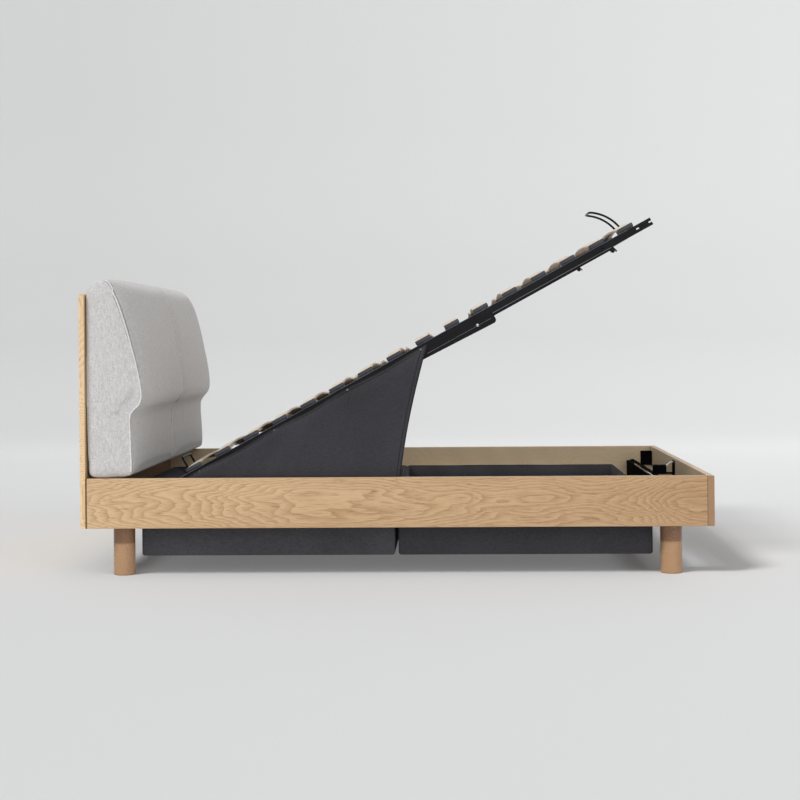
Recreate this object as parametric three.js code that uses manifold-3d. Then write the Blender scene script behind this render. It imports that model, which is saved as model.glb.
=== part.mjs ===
// A storage bed with an oak frame, an upholstered headboard and a slatted platform
// that gas struts lift on two pairs of links. Millimetres, X towards the foot end,
// Y from the near side to the far side, Z up from the floor.
// The platform is drawn in its closed place and then turned to the raised one.
import * as THREE from "three";
import { mergeVertices } from "three/addons/utils/BufferGeometryUtils.js";
import Module from "manifold-3d";

const wasm = await Module();
wasm.setup();

// Overall sizes
const bedLength = 2222;
const bedWidth = 1580;
const legHeight = 170;
const railHeight = 176;
const headboardTop = 998;

// Clearances
const fitGap = 0.3;
const pinClearance = 0.3;
const overrun = 5;

// Wooden frame
const railThickness = 22;
const panelThickness = 18;
const edgeRounding = 2.5;
const headRailHeight = 160;
const headRailThickness = 22;
const legDiameter = 76;
const legFromEnd = 142;
const legFromSide = 70;
const legFootRounding = 4;
const legRoundingSteps = 3;
const legFacets = 28;
const legBlockHeight = 22;
const legBlockLength = 76;
const legBlockReach = 108;
const battenStart = 38;
const battenHeight = 15;
const battenBottom = 65;

// Headboard cushions
const cushionHeight = 700;
const cushionDepth = 201;
const cushionFromSide = 22;
const cushionBottom = 348;
const cushionCrown = 25;
const cushionRise = 10;
const cushionSideRounding = 6;
const cushionSideDraw = 300;
const cushionSeamDraw = 70;
const cushionSeamDip = 13;
const cushionBackShare = 0.03;
const cushionStationShares = [0.012, 0.05, 0.11, 0.2, 0.32, 0.5, 0.7, 0.85, 0.93, 0.98];

// Storage bins
const binWall = 4;
const binDepth = 207;
const binFromRail = 65;
const binBottom = 62;
const binCornerRadius = 10;
const binFromFootRail = 181;
const binFromHeadRail = 159.7;
const binHeadSlopeStart = 128;
const binHeadSlopeRun = 129;
const binLipThickness = 3.5;

// Cross members and brackets of the frame
const centreBarThickness = 12;
const centreBarX = 1;
const centreBarBottom = 18;
const centreBarHeight = 36;
const crossbarDepth = 40;
const crossbarHeight = 66;
const crossbarTop = 283;
const crossbarFromFoot = 108;
const restBufferRadius = 9;
const bracketLength = 46;
const bracketHeight = 63;
const bracketThickness = 3;
const footBracketFromTop = 21;
const headBracketFromTop = 108;
const boltHeadRadius = 6;
const boltHeadHeight = 4;
const boltFromEdge = 13;
const boltFacets = 10;
const catchOffset = 13;
const catchWidth = 60;
const catchPlateHeight = 60;
const catchPlateBelow = 8;
const catchBlockLength = 50;
const catchBlockWidth = 44;
const catchBlockHeight = 35;
const catchArmHeight = 5;
const catchReach = 33;
const strapThickness = 3;
const strapWidth = 22;
const strapBendShare = 0.55;

// Slatted platform, closed
const platformFromRail = 33;
const platformFromFootRail = 11;
const platformFromHeadEnd = 199;
const closedClearance = 1;
const liftAngleDegrees = 28.5;
const raisedHeadShiftX = 81.15;
const raisedHeadDrop = 14.55;
const memberWidth = 25;
const memberHeight = 27;
const tubeWall = 1.5;
const stripHeight = 8;
const stripWidth = 19;
const stripInset = 3;
const stripFromFoot = 168;
const stripClipDepth = 14;
const sideSlotsFromFoot = [54, 200];
const sideSlotLength = 14;
const sideSlotHeight = 5;
const endNotchLength = 12;
const footTubeFromFoot = 78;
const beamWidth = 30;

// Slats
const slatRows = 16;
const firstSlatFromFoot = 92;
const lastSlatFromHead = 152;
const slatWidth = 57;
const slatThickness = 8;
const slatBow = 12;
const slatSeat = 4.5;
const holderHeight = 12.5;
const holderFoot = 2.5;
const holderFootLength = 9;
const holderLength = 37;
const holderOverhang = 2;
const holderFloor = 4;
const centreHolderHalf = 34;
const slatBowSteps = 8;

// Mattress retainer loops
const loopWire = 7.5;
const headLoopWidth = 190;
const headLoopHeight = 71;
const footLoopWidth = 156;
const footLoopReach = 57;
const footLoopRise = 11;
const footLoopRadius = 164;
const footLoopArcDegrees = 59;
const footLoopNose = 28;
const headLoopSteps = 40;
const footLoopSteps = 80;
const loopFacets = 4;
const loopBend = 14;
const headLoopFromEnd = 15;

// Lift linkage: plates lie in layers between the platform member and the side rail,
// and their places along the bed are counted from the platform's head end
const layerGap = 0.4;
const linkageGap = 1;
const liftPlateThickness = 4;
const liftPlateFromHead = 172;
const liftPlateLength = 1173;
const liftPlateBelow = 25;
const liftPlateAbove = 8;
const liftFlangeThickness = 3;
const liftFlangeWidth = 23.4;
const liftPlateRounding = 12;
const liftBossRadius = 14;
const liftBoltFromEnd = 68;
const liftBoltBelow = 3;
const linkThickness = 4;
const linkHalfWidth = 14;
const armEndRadius = 16;
const pivotPinRadius = 5;
const pivotHeadRadius = 9;
const pivotHeadHeight = 3;
const openPivotFreedom = 3.6;
const linkFacets = 10;
const bossFacets = 28;
const headLinkFromHead = 245.9;
const headLinkPivotBelow = 14.2;
const headLinkGround = 194.1;
const armFromHead = 305.6;
const armPivotAbove = 5.9;
const armGround = 214.9;
const basePlateThickness = 4;
const basePlateBottom = 172;
const basePlateHeight = 54;
const basePlateFromHead = 167;
const basePlateLength = 645;
const baseFlangeThickness = 3;

// Gas struts
const strutFootFromHead = 212;
const strutFootHeight = 192;
const strutTopFromHead = 712;
const strutTopBelow = 16;
const strutInset = 15;
const strutCylinderRadius = 11;
const strutCylinderStart = 12;
const strutCylinderEnd = 330;
const strutBoreRadius = 5.6;
const strutBoreStart = 108;
const strutRodRadius = 5;
const strutRodLength = 374;
const strutEyeWidth = 10;
const strutEyeRadius = 9;
const strutFacets = 16;

// Side curtain
const curtainThickness = 2;
const curtainTopFromHead = 112;
const curtainTopLength = 976;
const curtainTopAbove = 24;
const curtainBottomFromHead = 200;
const curtainBottomLength = 713;
const curtainHemBow = 14;
const curtainFold = 3.2;
const curtainHang = 6.5;
const curtainPinShare = 0.12;
const curtainFoldCount = 7;
const curtainFoldLean = 2.2;
const curtainColumns = 34;
const curtainRows = 12;
const studsFromHead = [168, 470, 766, 1061];
const studAbove = 19;
const studRadius = 3;

// Places that follow from the sizes
const halfLength = bedLength / 2;
const halfWidth = bedWidth / 2;
const railTop = legHeight + railHeight;
const railInner = halfWidth - railThickness;
const cushionWidth = halfWidth - cushionFromSide;
const panelFace = panelThickness - halfLength;
const footRailInner = halfLength - railThickness;
const headRailFace = panelFace + fitGap + headRailThickness;
const closedBottom = crossbarTop + closedClearance;
const platformFoot = footRailInner - platformFromFootRail;
const platformHead = platformFromHeadEnd - halfLength;
const platformHalfWidth = railInner - platformFromRail;
const memberBottom = closedBottom + stripHeight;
const memberTop = memberBottom + memberHeight;
const memberInner = platformHalfWidth - memberWidth;
const footTubeX = platformFoot - footTubeFromFoot;
const slatRun = platformFoot - firstSlatFromFoot - (platformHead + lastSlatFromHead);
const slatPitch = slatRun / (slatRows - 1);
const binHalfWidth = railInner - binFromRail;
const binFootEnd = footRailInner - binFromFootRail;
const binHeadEnd = headRailFace + binFromHeadRail;
const binTop = binBottom + binDepth;
const slopeStartZ = binBottom + binHeadSlopeStart;
const legX = halfLength - legFromEnd;
const legY = halfWidth - legFromSide;
const liftAngle = THREE.MathUtils.degToRad(liftAngleDegrees);

// The layers of the linkage, as distances from the bed's centre plane
const liftPlateInner = platformHalfWidth + layerGap;
const liftPlateOuter = liftPlateInner + liftPlateThickness;
const linkInner = liftPlateOuter + linkageGap;
const linkOuter = linkInner + linkThickness;
const basePlateInner = linkOuter + linkageGap;
const pinHeadOuter = linkOuter + layerGap + pivotHeadHeight;
const curtainInner = pinHeadOuter + linkageGap * 2;
const strutPlane = platformHalfWidth - strutInset;

const sides = [
  { name: "near", sign: -1 },
  { name: "far", sign: 1 },
];

const finishes = {
  oak: { color: 0xc39a6b, roughness: 0.55, metalness: 0 },
  plywood: { color: 0x9a8468, roughness: 0.7, metalness: 0 },
  blackSteel: { color: 0x1a1a1b, roughness: 0.5, metalness: 0.3 },
  zincSteel: { color: 0xb9bcc0, roughness: 0.35, metalness: 0.9 },
  birch: { color: 0xe0cbab, roughness: 0.5, metalness: 0 },
  greyCloth: { color: 0x8f8b88, roughness: 0.95, metalness: 0 },
  blackCloth: { color: 0x2e2c2e, roughness: 0.9, metalness: 0 },
  paleStrap: { color: 0xd8d6d0, roughness: 0.8, metalness: 0 },
};

// Solids and their joins

function solid(geometry) {
  const bare = new THREE.BufferGeometry();
  bare.setAttribute("position", geometry.getAttribute("position"));
  if (geometry.index) bare.setIndex(geometry.index);
  const merged = mergeVertices(bare);
  return new wasm.Manifold(
    new wasm.Mesh({
      numProp: 3,
      vertProperties: merged.attributes.position.array,
      triVerts: new Uint32Array(merged.index.array),
    }),
  );
}

function joined(...geometries) {
  return geometries.map(solid).reduce((whole, next) => whole.add(next));
}

function geometryOf(manifold) {
  const mesh = manifold.getMesh();
  const geometry = new THREE.BufferGeometry();
  geometry.setAttribute(
    "position",
    new THREE.BufferAttribute(new Float32Array(mesh.vertProperties), 3),
  );
  geometry.setIndex(new THREE.BufferAttribute(new Uint32Array(mesh.triVerts), 1));
  geometry.computeVertexNormals();
  return geometry;
}

function piece(name, shape, finish) {
  const geometry = shape.isBufferGeometry ? shape : geometryOf(shape);
  const mesh = new THREE.Mesh(geometry, new THREE.MeshStandardMaterial(finish));
  mesh.name = name;
  return mesh;
}

// Shapes

function box(x0, x1, y0, y1, z0, z1) {
  const geometry = new THREE.BoxGeometry(
    Math.abs(x1 - x0),
    Math.abs(y1 - y0),
    Math.abs(z1 - z0),
  );
  return geometry.translate((x0 + x1) / 2, (y0 + y1) / 2, (z0 + z1) / 2);
}

function outline(points) {
  return new THREE.Shape(points.map(([a, b]) => new THREE.Vector2(a, b)));
}

function roundedRectangle(a0, a1, b0, b1, radius) {
  const shape = new THREE.Shape();
  shape.absarc(a1 - radius, b0 + radius, radius, -Math.PI / 2, 0);
  shape.absarc(a1 - radius, b1 - radius, radius, 0, Math.PI / 2);
  shape.absarc(a0 + radius, b1 - radius, radius, Math.PI / 2, Math.PI);
  shape.absarc(a0 + radius, b0 + radius, radius, Math.PI, Math.PI * 1.5);
  return shape;
}

function bore(shape, a, b, radius) {
  const hole = new THREE.Path();
  hole.absarc(a, b, radius, 0, Math.PI * 2, true);
  shape.holes.push(hole);
}

// An outline in X and Z, as thick as the distance from y0 to y1
function alongY(shape, y0, y1, curveSegments = 4) {
  const depth = Math.abs(y1 - y0);
  const geometry = new THREE.ExtrudeGeometry(shape, {
    depth,
    bevelEnabled: false,
    curveSegments,
  });
  return geometry.rotateX(Math.PI / 2).translate(0, Math.max(y0, y1), 0);
}

// An outline in Y and Z, as long as the distance from x0 to x1
function alongX(shape, x0, x1, curveSegments = 4) {
  const geometry = new THREE.ExtrudeGeometry(shape, {
    depth: x1 - x0,
    bevelEnabled: false,
    curveSegments,
  });
  const turn = new THREE.Matrix4().makeBasis(
    new THREE.Vector3(0, 1, 0),
    new THREE.Vector3(0, 0, 1),
    new THREE.Vector3(1, 0, 0),
  );
  return geometry.applyMatrix4(turn).translate(x0, 0, 0);
}

function discAlongY(x, z, radius, y0, y1, facets = 20) {
  const geometry = new THREE.CylinderGeometry(radius, radius, Math.abs(y1 - y0), facets);
  return geometry.translate(x, (y0 + y1) / 2, z);
}

function rotateAbout(pivot, angle, point) {
  const dx = point.x - pivot.x;
  const dz = point.z - pivot.z;
  return {
    x: pivot.x + dx * Math.cos(angle) - dz * Math.sin(angle),
    z: pivot.z + dx * Math.sin(angle) + dz * Math.cos(angle),
  };
}

function turnedAbout(pivot, angle, meshes) {
  const turned = new THREE.Group();
  turned.position.set(pivot.x, 0, pivot.z);
  turned.rotation.y = -angle;
  const held = new THREE.Group();
  held.position.set(-pivot.x, 0, -pivot.z);
  held.add(...meshes);
  turned.add(held);
  return turned;
}

// Linkage geometry

// The point that the whole platform turns about between closed and raised
function findPole() {
  const closed = { x: platformHead, z: closedBottom };
  const dx = raisedHeadShiftX;
  const dz = -raisedHeadDrop;
  const reach = 1 / (2 * Math.tan(liftAngle / 2));
  return {
    x: closed.x + dx / 2 - dz * reach,
    z: closed.z + dz / 2 + dx * reach,
  };
}

const pole = findPole();

// A link's fixed pivot is as far from its moving pivot when closed as when raised,
// so it lies on the line that halves the angle of the lift at the pole.
function fixedPivot(moving, height) {
  const toMoving = Math.atan2(moving.z - pole.z, moving.x - pole.x);
  const halving = toMoving + liftAngle / 2;
  return { x: pole.x + (height - pole.z) / Math.tan(halving), z: height };
}

function linkTurn(fixed, moving) {
  const raised = rotateAbout(pole, liftAngle, moving);
  const closedAngle = Math.atan2(moving.z - fixed.z, moving.x - fixed.x);
  const raisedAngle = Math.atan2(raised.z - fixed.z, raised.x - fixed.x);
  return raisedAngle - closedAngle;
}

const headLinkTop = { x: platformHead + headLinkFromHead, z: closedBottom - headLinkPivotBelow };
const headLinkFoot = fixedPivot(headLinkTop, headLinkGround);
const headLinkTurn = linkTurn(headLinkFoot, headLinkTop);
const armTop = { x: platformHead + armFromHead, z: closedBottom + armPivotAbove };
const armFoot = fixedPivot(armTop, armGround);
const armTurn = linkTurn(armFoot, armTop);

const strutFoot = { x: platformHead + strutFootFromHead, z: strutFootHeight };
const strutTop = { x: platformHead + strutTopFromHead, z: closedBottom - strutTopBelow };
const strutTopRaised = rotateAbout(pole, liftAngle, strutTop);
const strutTurn = linkTurn(strutFoot, strutTop);
const strutRaisedLength = Math.hypot(
  strutTopRaised.x - strutFoot.x,
  strutTopRaised.z - strutFoot.z,
);
const strutClosedAngle = Math.atan2(strutTop.z - strutFoot.z, strutTop.x - strutFoot.x);

// Wooden frame

function sideRange(sign, inner, outer) {
  return sign < 0 ? [-outer, -inner] : [inner, outer];
}

function headboardPanel() {
  const shape = roundedRectangle(
    -halfLength,
    panelFace,
    legHeight,
    headboardTop,
    edgeRounding,
  );
  return piece("headboard_panel", alongY(shape, -halfWidth, halfWidth), finishes.oak);
}

// The block that takes a leg's bolt is glued into the corner of the side rail
function legBlock(x, sign) {
  return box(
    x - legBlockLength / 2,
    x + legBlockLength / 2,
    sign * (halfWidth - legBlockReach),
    sign * (railInner + overrun),
    legHeight,
    legHeight + legBlockHeight,
  );
}

// The batten inside the rail steadies the side of the foot bin
function binBatten(sign) {
  return box(
    battenStart,
    binFootEnd,
    sign * (binHalfWidth + fitGap),
    sign * (railInner + overrun),
    legHeight + battenBottom,
    legHeight + battenBottom + battenHeight,
  );
}

function sideRail({ name, sign }) {
  const [y0, y1] = sideRange(sign, railInner, halfWidth);
  const shape = roundedRectangle(y0, y1, legHeight, railTop, edgeRounding);
  const board = alongX(shape, panelFace + fitGap, footRailInner - fitGap);
  const rail = joined(board, legBlock(-legX, sign), legBlock(legX, sign), binBatten(sign));
  return piece("side_rail_" + name, rail, finishes.oak);
}

function footRail() {
  const shape = roundedRectangle(
    footRailInner,
    halfLength,
    legHeight,
    railTop,
    edgeRounding,
  );
  return piece("foot_rail", alongY(shape, -halfWidth, halfWidth), finishes.oak);
}

function headRail() {
  const reach = railInner - fitGap;
  const board = box(
    panelFace + fitGap,
    headRailFace,
    -reach,
    reach,
    legHeight,
    legHeight + headRailHeight,
  );
  return piece("head_rail", board, finishes.plywood);
}

function leg(endName, sideName, x, y) {
  const radius = legDiameter / 2;
  const profile = [new THREE.Vector2(0, 0)];
  for (let step = 0; step <= legRoundingSteps; step++) {
    const angle = (step / legRoundingSteps) * (Math.PI / 2);
    profile.push(
      new THREE.Vector2(
        radius - legFootRounding + legFootRounding * Math.sin(angle),
        legFootRounding - legFootRounding * Math.cos(angle),
      ),
    );
  }
  profile.push(new THREE.Vector2(radius, legHeight - fitGap));
  profile.push(new THREE.Vector2(0, legHeight - fitGap));
  const geometry = new THREE.LatheGeometry(profile, legFacets);
  const mesh = piece(
    "leg_" + endName + "_" + sideName,
    geometryOf(solid(geometry.rotateX(Math.PI / 2))),
    finishes.oak,
  );
  mesh.position.set(x, y, 0);
  return mesh;
}

// Headboard cushions

// Side view of a cushion from the bottom of its back, up the back, over the top and
// down the front: share of the depth, share of the height, and the shares of the
// crown and of the rise by which the middle stands proud forwards and upwards.
const cushionSideShares = [
  [0.115, 0.0, 0.0, 0.0],
  [0.04, 0.06, 0.0, 0.0],
  [0.015, 0.2, 0.0, 0.0],
  [0.002, 0.4, 0.0, 0.0],
  [0.005, 0.7, 0.0, 0.0],
  [0.02, 0.96, 0.0, 0.4],
  [0.13, 0.993, 0.2, 0.9],
  [0.34, 1.0, 0.6, 1.0],
  [0.46, 0.985, 0.9, 0.9],
  [0.56, 0.935, 1.0, 0.6],
  [0.66, 0.875, 1.0, 0.4],
  [0.76, 0.775, 1.0, 0.2],
  [0.85, 0.667, 0.95, 0.0],
  [0.93, 0.56, 0.8, 0.0],
  [0.99, 0.46, 0.7, 0.0],
  [1.0, 0.4, 0.7, 0.0],
  [0.955, 0.362, 0.7, 0.0],
  [0.85, 0.333, 0.6, 0.0],
  [0.795, 0.3, 0.5, 0.0],
  [0.795, 0.23, 0.5, 0.0],
  [0.81, 0.13, 0.45, 0.0],
  [0.815, 0.04, 0.3, 0.0],
  [0.77, 0.006, 0.2, 0.0],
  [0.5, 0.0, 0.0, 0.0],
];

// How much of its crown the cushion has at a distance from its outer side
function crownShare(fromOuter) {
  const fromSeam = cushionWidth - fromOuter;
  const draw = Math.min(1, fromOuter / cushionSideDraw);
  const rise = Math.sin((draw * Math.PI) / 2);
  const seam = Math.min(1, fromSeam / cushionSeamDraw);
  const dip = (1 - Math.sin((seam * Math.PI) / 2)) * (cushionSeamDip / cushionCrown);
  return Math.sqrt(rise) - dip;
}

function cushionRing(sign, fromOuter, drawnIn) {
  const y = sign * (cushionWidth - fromOuter + fitGap / 2);
  const share = crownShare(fromOuter);
  const centreDepth = cushionDepth / 2;
  const centreHeight = cushionHeight / 2;
  return cushionSideShares.map(([depthShare, heightShare, forwardShare, upShare]) => {
    const depth =
      depthShare * cushionDepth + forwardShare * share * cushionCrown;
    const height = heightShare * cushionHeight + upShare * share * cushionRise;
    const inward = Math.sign(depth - centreDepth) * drawnIn * (depthShare > cushionBackShare);
    const lowered = Math.sign(height - centreHeight) * drawnIn;
    return new THREE.Vector3(
      panelFace + fitGap + depth - inward,
      y,
      cushionBottom + height - lowered,
    );
  });
}

// Rings of equal point counts from the far side to the near side, each running
// clockwise as seen from the near side, skinned in turn and capped at both ends
function skin(rings) {
  const count = rings[0].length;
  const positions = rings.flat().flatMap((point) => [point.x, point.y, point.z]);
  const index = [];
  for (let ring = 0; ring + 1 < rings.length; ring++) {
    for (let spot = 0; spot < count; spot++) {
      const next = (spot + 1) % count;
      const a = ring * count + spot;
      const b = ring * count + next;
      index.push(a, a + count, b, b, a + count, b + count);
    }
  }
  const capAt = (ring, flip) => {
    const flat = rings[ring].map((point) => new THREE.Vector2(point.x, point.z));
    for (const [a, b, c] of THREE.ShapeUtils.triangulateShape(flat, [])) {
      const start = ring * count;
      index.push(start + a, start + (flip ? c : b), start + (flip ? b : c));
    }
  };
  capAt(0, true);
  capAt(rings.length - 1, false);
  const geometry = new THREE.BufferGeometry();
  geometry.setAttribute("position", new THREE.Float32BufferAttribute(positions, 3));
  geometry.setIndex(index);
  return geometry;
}

function headboardCushion({ name, sign }) {
  const rings = [cushionRing(sign, 0, cushionSideRounding)];
  for (const share of cushionStationShares) {
    rings.push(cushionRing(sign, share * cushionWidth, 0));
  }
  rings.push(cushionRing(sign, cushionWidth, cushionSideRounding / 2));
  const ordered = sign > 0 ? rings : rings.reverse();
  return piece("headboard_cushion_" + name, geometryOf(solid(skin(ordered))), finishes.greyCloth);
}

// Storage bins

// A bin's inside or outside: its side outline swept across, with its lower edges
// rounded both ways
function binBody(sideShape, x0, x1, halfAcross, bottom, radius) {
  const swept = solid(alongY(sideShape, -halfAcross, halfAcross));
  const cross = roundedRectangle(
    -halfAcross,
    halfAcross,
    bottom,
    binTop + binCornerRadius * 2,
    radius,
  );
  return swept.intersect(solid(alongX(cross, x0 - overrun, x1 + overrun)));
}

function footBinOutline(inset, top) {
  const x0 = centreBarThickness / 2 + fitGap + centreBarX + inset;
  const x1 = binFootEnd - inset;
  const radius = binCornerRadius - inset;
  const shape = new THREE.Shape();
  shape.moveTo(x1, top);
  shape.lineTo(x0, top);
  shape.absarc(x0 + radius, binBottom + inset + radius, radius, Math.PI, Math.PI * 1.5);
  shape.absarc(x1 - radius, binBottom + inset + radius, radius, -Math.PI / 2, 0);
  return { shape, x0, x1 };
}

function footBin() {
  const outer = footBinOutline(0, binTop);
  const inner = footBinOutline(binWall, binTop + overrun);
  const shell = binBody(outer.shape, outer.x0, outer.x1, binHalfWidth, binBottom, binCornerRadius);
  const hollow = binBody(
    inner.shape,
    inner.x0,
    inner.x1,
    binHalfWidth - binWall,
    binBottom + binWall,
    binCornerRadius - binWall,
  );
  return piece("storage_bin_foot", shell.subtract(hollow), finishes.blackCloth);
}

// The head bin's end wall leans out over the leg blocks to a lip on the head rail
function headBinOutline(inset, top) {
  const x1 = centreBarX - centreBarThickness / 2 - fitGap - inset;
  const x0 = binHeadEnd + inset;
  const slopeTopX = x0 - (binHeadSlopeRun * (top - slopeStartZ)) / (binTop - slopeStartZ);
  const radius = binCornerRadius - inset;
  const shape = new THREE.Shape();
  shape.moveTo(x1, top);
  shape.lineTo(slopeTopX, top);
  shape.lineTo(x0, slopeStartZ);
  shape.absarc(x0 + radius, binBottom + inset + radius, radius, Math.PI, Math.PI * 1.5);
  shape.absarc(x1 - radius, binBottom + inset + radius, radius, -Math.PI / 2, 0);
  return { shape, x0: slopeTopX, x1 };
}

function headBin() {
  const outer = headBinOutline(0, binTop);
  const inner = headBinOutline(binWall, binTop + overrun);
  const shell = binBody(outer.shape, outer.x0, outer.x1, binHalfWidth, binBottom, binCornerRadius);
  const hollow = binBody(
    inner.shape,
    inner.x0,
    inner.x1,
    binHalfWidth - binWall,
    binBottom + binWall,
    binCornerRadius - binWall,
  );
  const lip = box(
    headRailFace + fitGap,
    outer.x0 + binLipThickness,
    -binHalfWidth,
    binHalfWidth,
    binTop - binLipThickness,
    binTop,
  );
  return piece("storage_bin_head", shell.add(solid(lip)).subtract(hollow), finishes.blackCloth);
}

// Cross members and brackets of the frame

function centreCrossbar() {
  const reach = railInner - fitGap;
  const bar = box(
    centreBarX - centreBarThickness / 2,
    centreBarX + centreBarThickness / 2,
    -reach,
    reach,
    legHeight + centreBarBottom,
    legHeight + centreBarBottom + centreBarHeight,
  );
  return piece("centre_crossbar", bar, finishes.blackSteel);
}

// A pressed channel, open towards the foot, with the two rubber buffers that the
// closed platform comes to rest on
function footCrossbar() {
  const x0 = footRailInner - crossbarFromFoot;
  const x1 = x0 + crossbarDepth;
  const z0 = crossbarTop - crossbarHeight;
  const shape = outline([
    [x0, z0],
    [x1, z0],
    [x1, z0 + bracketThickness],
    [x0 + bracketThickness, z0 + bracketThickness],
    [x0 + bracketThickness, crossbarTop - bracketThickness],
    [x1, crossbarTop - bracketThickness],
    [x1, crossbarTop],
    [x0, crossbarTop],
  ]);
  const reach = railInner - fitGap;
  const buffers = sides.map(({ sign }) =>
    new THREE.CylinderGeometry(restBufferRadius, restBufferRadius, stripHeight + bracketThickness)
      .rotateX(Math.PI / 2)
      .translate(
        (x0 + x1) / 2,
        sign * (platformHalfWidth - memberWidth / 2),
        crossbarTop + (stripHeight - bracketThickness) / 2,
      ),
  );
  const crossbar = joined(alongY(shape, -reach, reach), ...buffers);
  return piece("foot_crossbar", crossbar, finishes.blackSteel);
}

// An angle plate screwed into the corner between a side rail and an end board
function cornerBracket(endName, { name, sign }, endFace, inwards, fromTop) {
  const yFace = railInner - fitGap;
  const z1 = railTop - fromTop;
  const z0 = z1 - bracketHeight;
  const faceX = endFace + inwards * fitGap;
  const sideLeg = box(
    faceX,
    faceX + inwards * bracketLength,
    sign * (yFace - bracketThickness),
    sign * yFace,
    z0,
    z1,
  );
  const endLeg = box(
    faceX,
    faceX + inwards * bracketThickness,
    sign * (yFace - bracketLength),
    sign * yFace,
    z0,
    z1,
  );
  const bolts = [z0 + boltFromEdge, z1 - boltFromEdge].map((z) =>
    discAlongY(
      faceX + inwards * (bracketLength - boltFromEdge),
      z,
      boltHeadRadius,
      sign * (yFace - bracketThickness - boltHeadHeight),
      sign * (yFace - bracketThickness / 2),
      boltFacets,
    ),
  );
  return piece(
    "corner_bracket_" + endName + "_" + name,
    joined(sideLeg, endLeg, ...bolts),
    finishes.blackSteel,
  );
}

// The block that stops the platform's foot end, on its plate in the foot rail
function footCatchBracket() {
  const plateX = footRailInner - fitGap;
  const armBottom = crossbarTop + fitGap;
  const plateBottom = armBottom - catchPlateBelow;
  const plate = box(
    plateX - bracketThickness,
    plateX,
    catchOffset,
    catchOffset + catchWidth,
    plateBottom,
    plateBottom + catchPlateHeight,
  );
  const arm = box(
    plateX - catchReach - overrun,
    plateX,
    catchOffset + bracketThickness,
    catchOffset + bracketThickness + catchBlockWidth,
    armBottom,
    armBottom + catchArmHeight,
  );
  const block = box(
    plateX - catchReach - catchBlockLength,
    plateX - catchReach,
    catchOffset + bracketThickness,
    catchOffset + bracketThickness + catchBlockWidth,
    armBottom,
    armBottom + catchBlockHeight,
  );
  return piece("foot_catch_bracket", joined(plate, arm, block), finishes.blackSteel);
}

// A pale webbing strap from the block up to the plate
function footCatchStrap() {
  const plateX = footRailInner - fitGap * 2 - bracketThickness;
  const blockX = footRailInner - fitGap - catchReach + fitGap;
  const low = crossbarTop + catchArmHeight + fitGap * 2;
  const high = crossbarTop + fitGap - catchPlateBelow + catchPlateHeight - strapThickness;
  const tab = catchBlockHeight - catchArmHeight - strapThickness * 2;
  const bend = (plateX - blockX) * strapBendShare;
  const shape = outline([
    [blockX, low],
    [blockX + strapThickness, low],
    [blockX + strapThickness, low + tab],
    [blockX + bend + strapThickness, high - strapThickness],
    [plateX, high - strapThickness],
    [plateX, high],
    [blockX + bend, high],
    [blockX, low + tab + strapThickness],
  ]);
  const y0 = catchOffset + bracketThickness + (catchBlockWidth - strapWidth) / 2;
  return piece("foot_catch_strap", alongY(shape, y0, y0 + strapWidth), finishes.paleStrap);
}

// Lift linkage

// A pressed channel on the rail's inner face; its web stands in from the rail and
// carries the pivots of the head link, the lift arm and the gas strut.
function basePlate({ name, sign }) {
  const web = [basePlateInner, basePlateInner + basePlateThickness];
  const back = railInner - fitGap;
  const z0 = basePlateBottom;
  const z1 = basePlateBottom + basePlateHeight;
  const shape = outline(
    [
      [web[0], z0],
      [back, z0],
      [back, z0 + baseFlangeThickness],
      [web[1], z0 + baseFlangeThickness],
      [web[1], z1 - baseFlangeThickness],
      [back, z1 - baseFlangeThickness],
      [back, z1],
      [web[0], z1],
    ].map(([y, z]) => [sign * y, z]),
  );
  const x0 = platformHead + basePlateFromHead;
  const channel = alongX(shape, x0, x0 + basePlateLength);
  const pivots = [headLinkFoot, armFoot].flatMap(({ x, z }) => [
    discAlongY(
      x,
      z,
      pivotPinRadius,
      sign * (linkInner - layerGap * 2),
      sign * (web[0] + basePlateThickness / 2),
    ),
    discAlongY(
      x,
      z,
      pivotHeadRadius,
      sign * (linkInner - layerGap - pivotHeadHeight),
      sign * (linkInner - layerGap),
    ),
  ]);
  const eyeOuter = strutPlane + strutEyeWidth / 2 + layerGap;
  const eyeInner = strutPlane - strutEyeWidth / 2 - layerGap;
  const strutPost = [
    discAlongY(
      strutFoot.x,
      strutFoot.z,
      pivotHeadRadius,
      sign * eyeOuter,
      sign * (web[0] + basePlateThickness / 2),
    ),
    discAlongY(
      strutFoot.x,
      strutFoot.z,
      pivotPinRadius,
      sign * (eyeInner - layerGap),
      sign * (eyeOuter + overrun),
    ),
    discAlongY(
      strutFoot.x,
      strutFoot.z,
      pivotHeadRadius,
      sign * (eyeInner - pivotHeadHeight),
      sign * eyeInner,
    ),
  ];
  return piece(
    "base_plate_" + name,
    joined(channel, ...pivots, ...strutPost),
    finishes.blackSteel,
  );
}

// The outline of a flat link with round ends and a bore at each
function linkOutline(foot, top, footRadius, topRadius, topBore) {
  const along = Math.atan2(top.z - foot.z, top.x - foot.x);
  const shape = new THREE.Shape();
  const half = Math.PI / 2;
  shape.absarc(top.x, top.z, topRadius, along - half, along + half);
  shape.absarc(foot.x, foot.z, footRadius, along + half, along + half * 3);
  bore(shape, foot.x, foot.z, pivotPinRadius + pinClearance);
  bore(shape, top.x, top.z, topBore);
  return shape;
}

function headLink({ name, sign }) {
  const shape = linkOutline(
    headLinkFoot,
    headLinkTop,
    linkHalfWidth,
    linkHalfWidth,
    pivotPinRadius + pinClearance,
  );
  const plate = alongY(shape, sign * linkInner, sign * linkOuter, linkFacets);
  return piece("head_link_" + name, plate, finishes.blackSteel);
}

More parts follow.
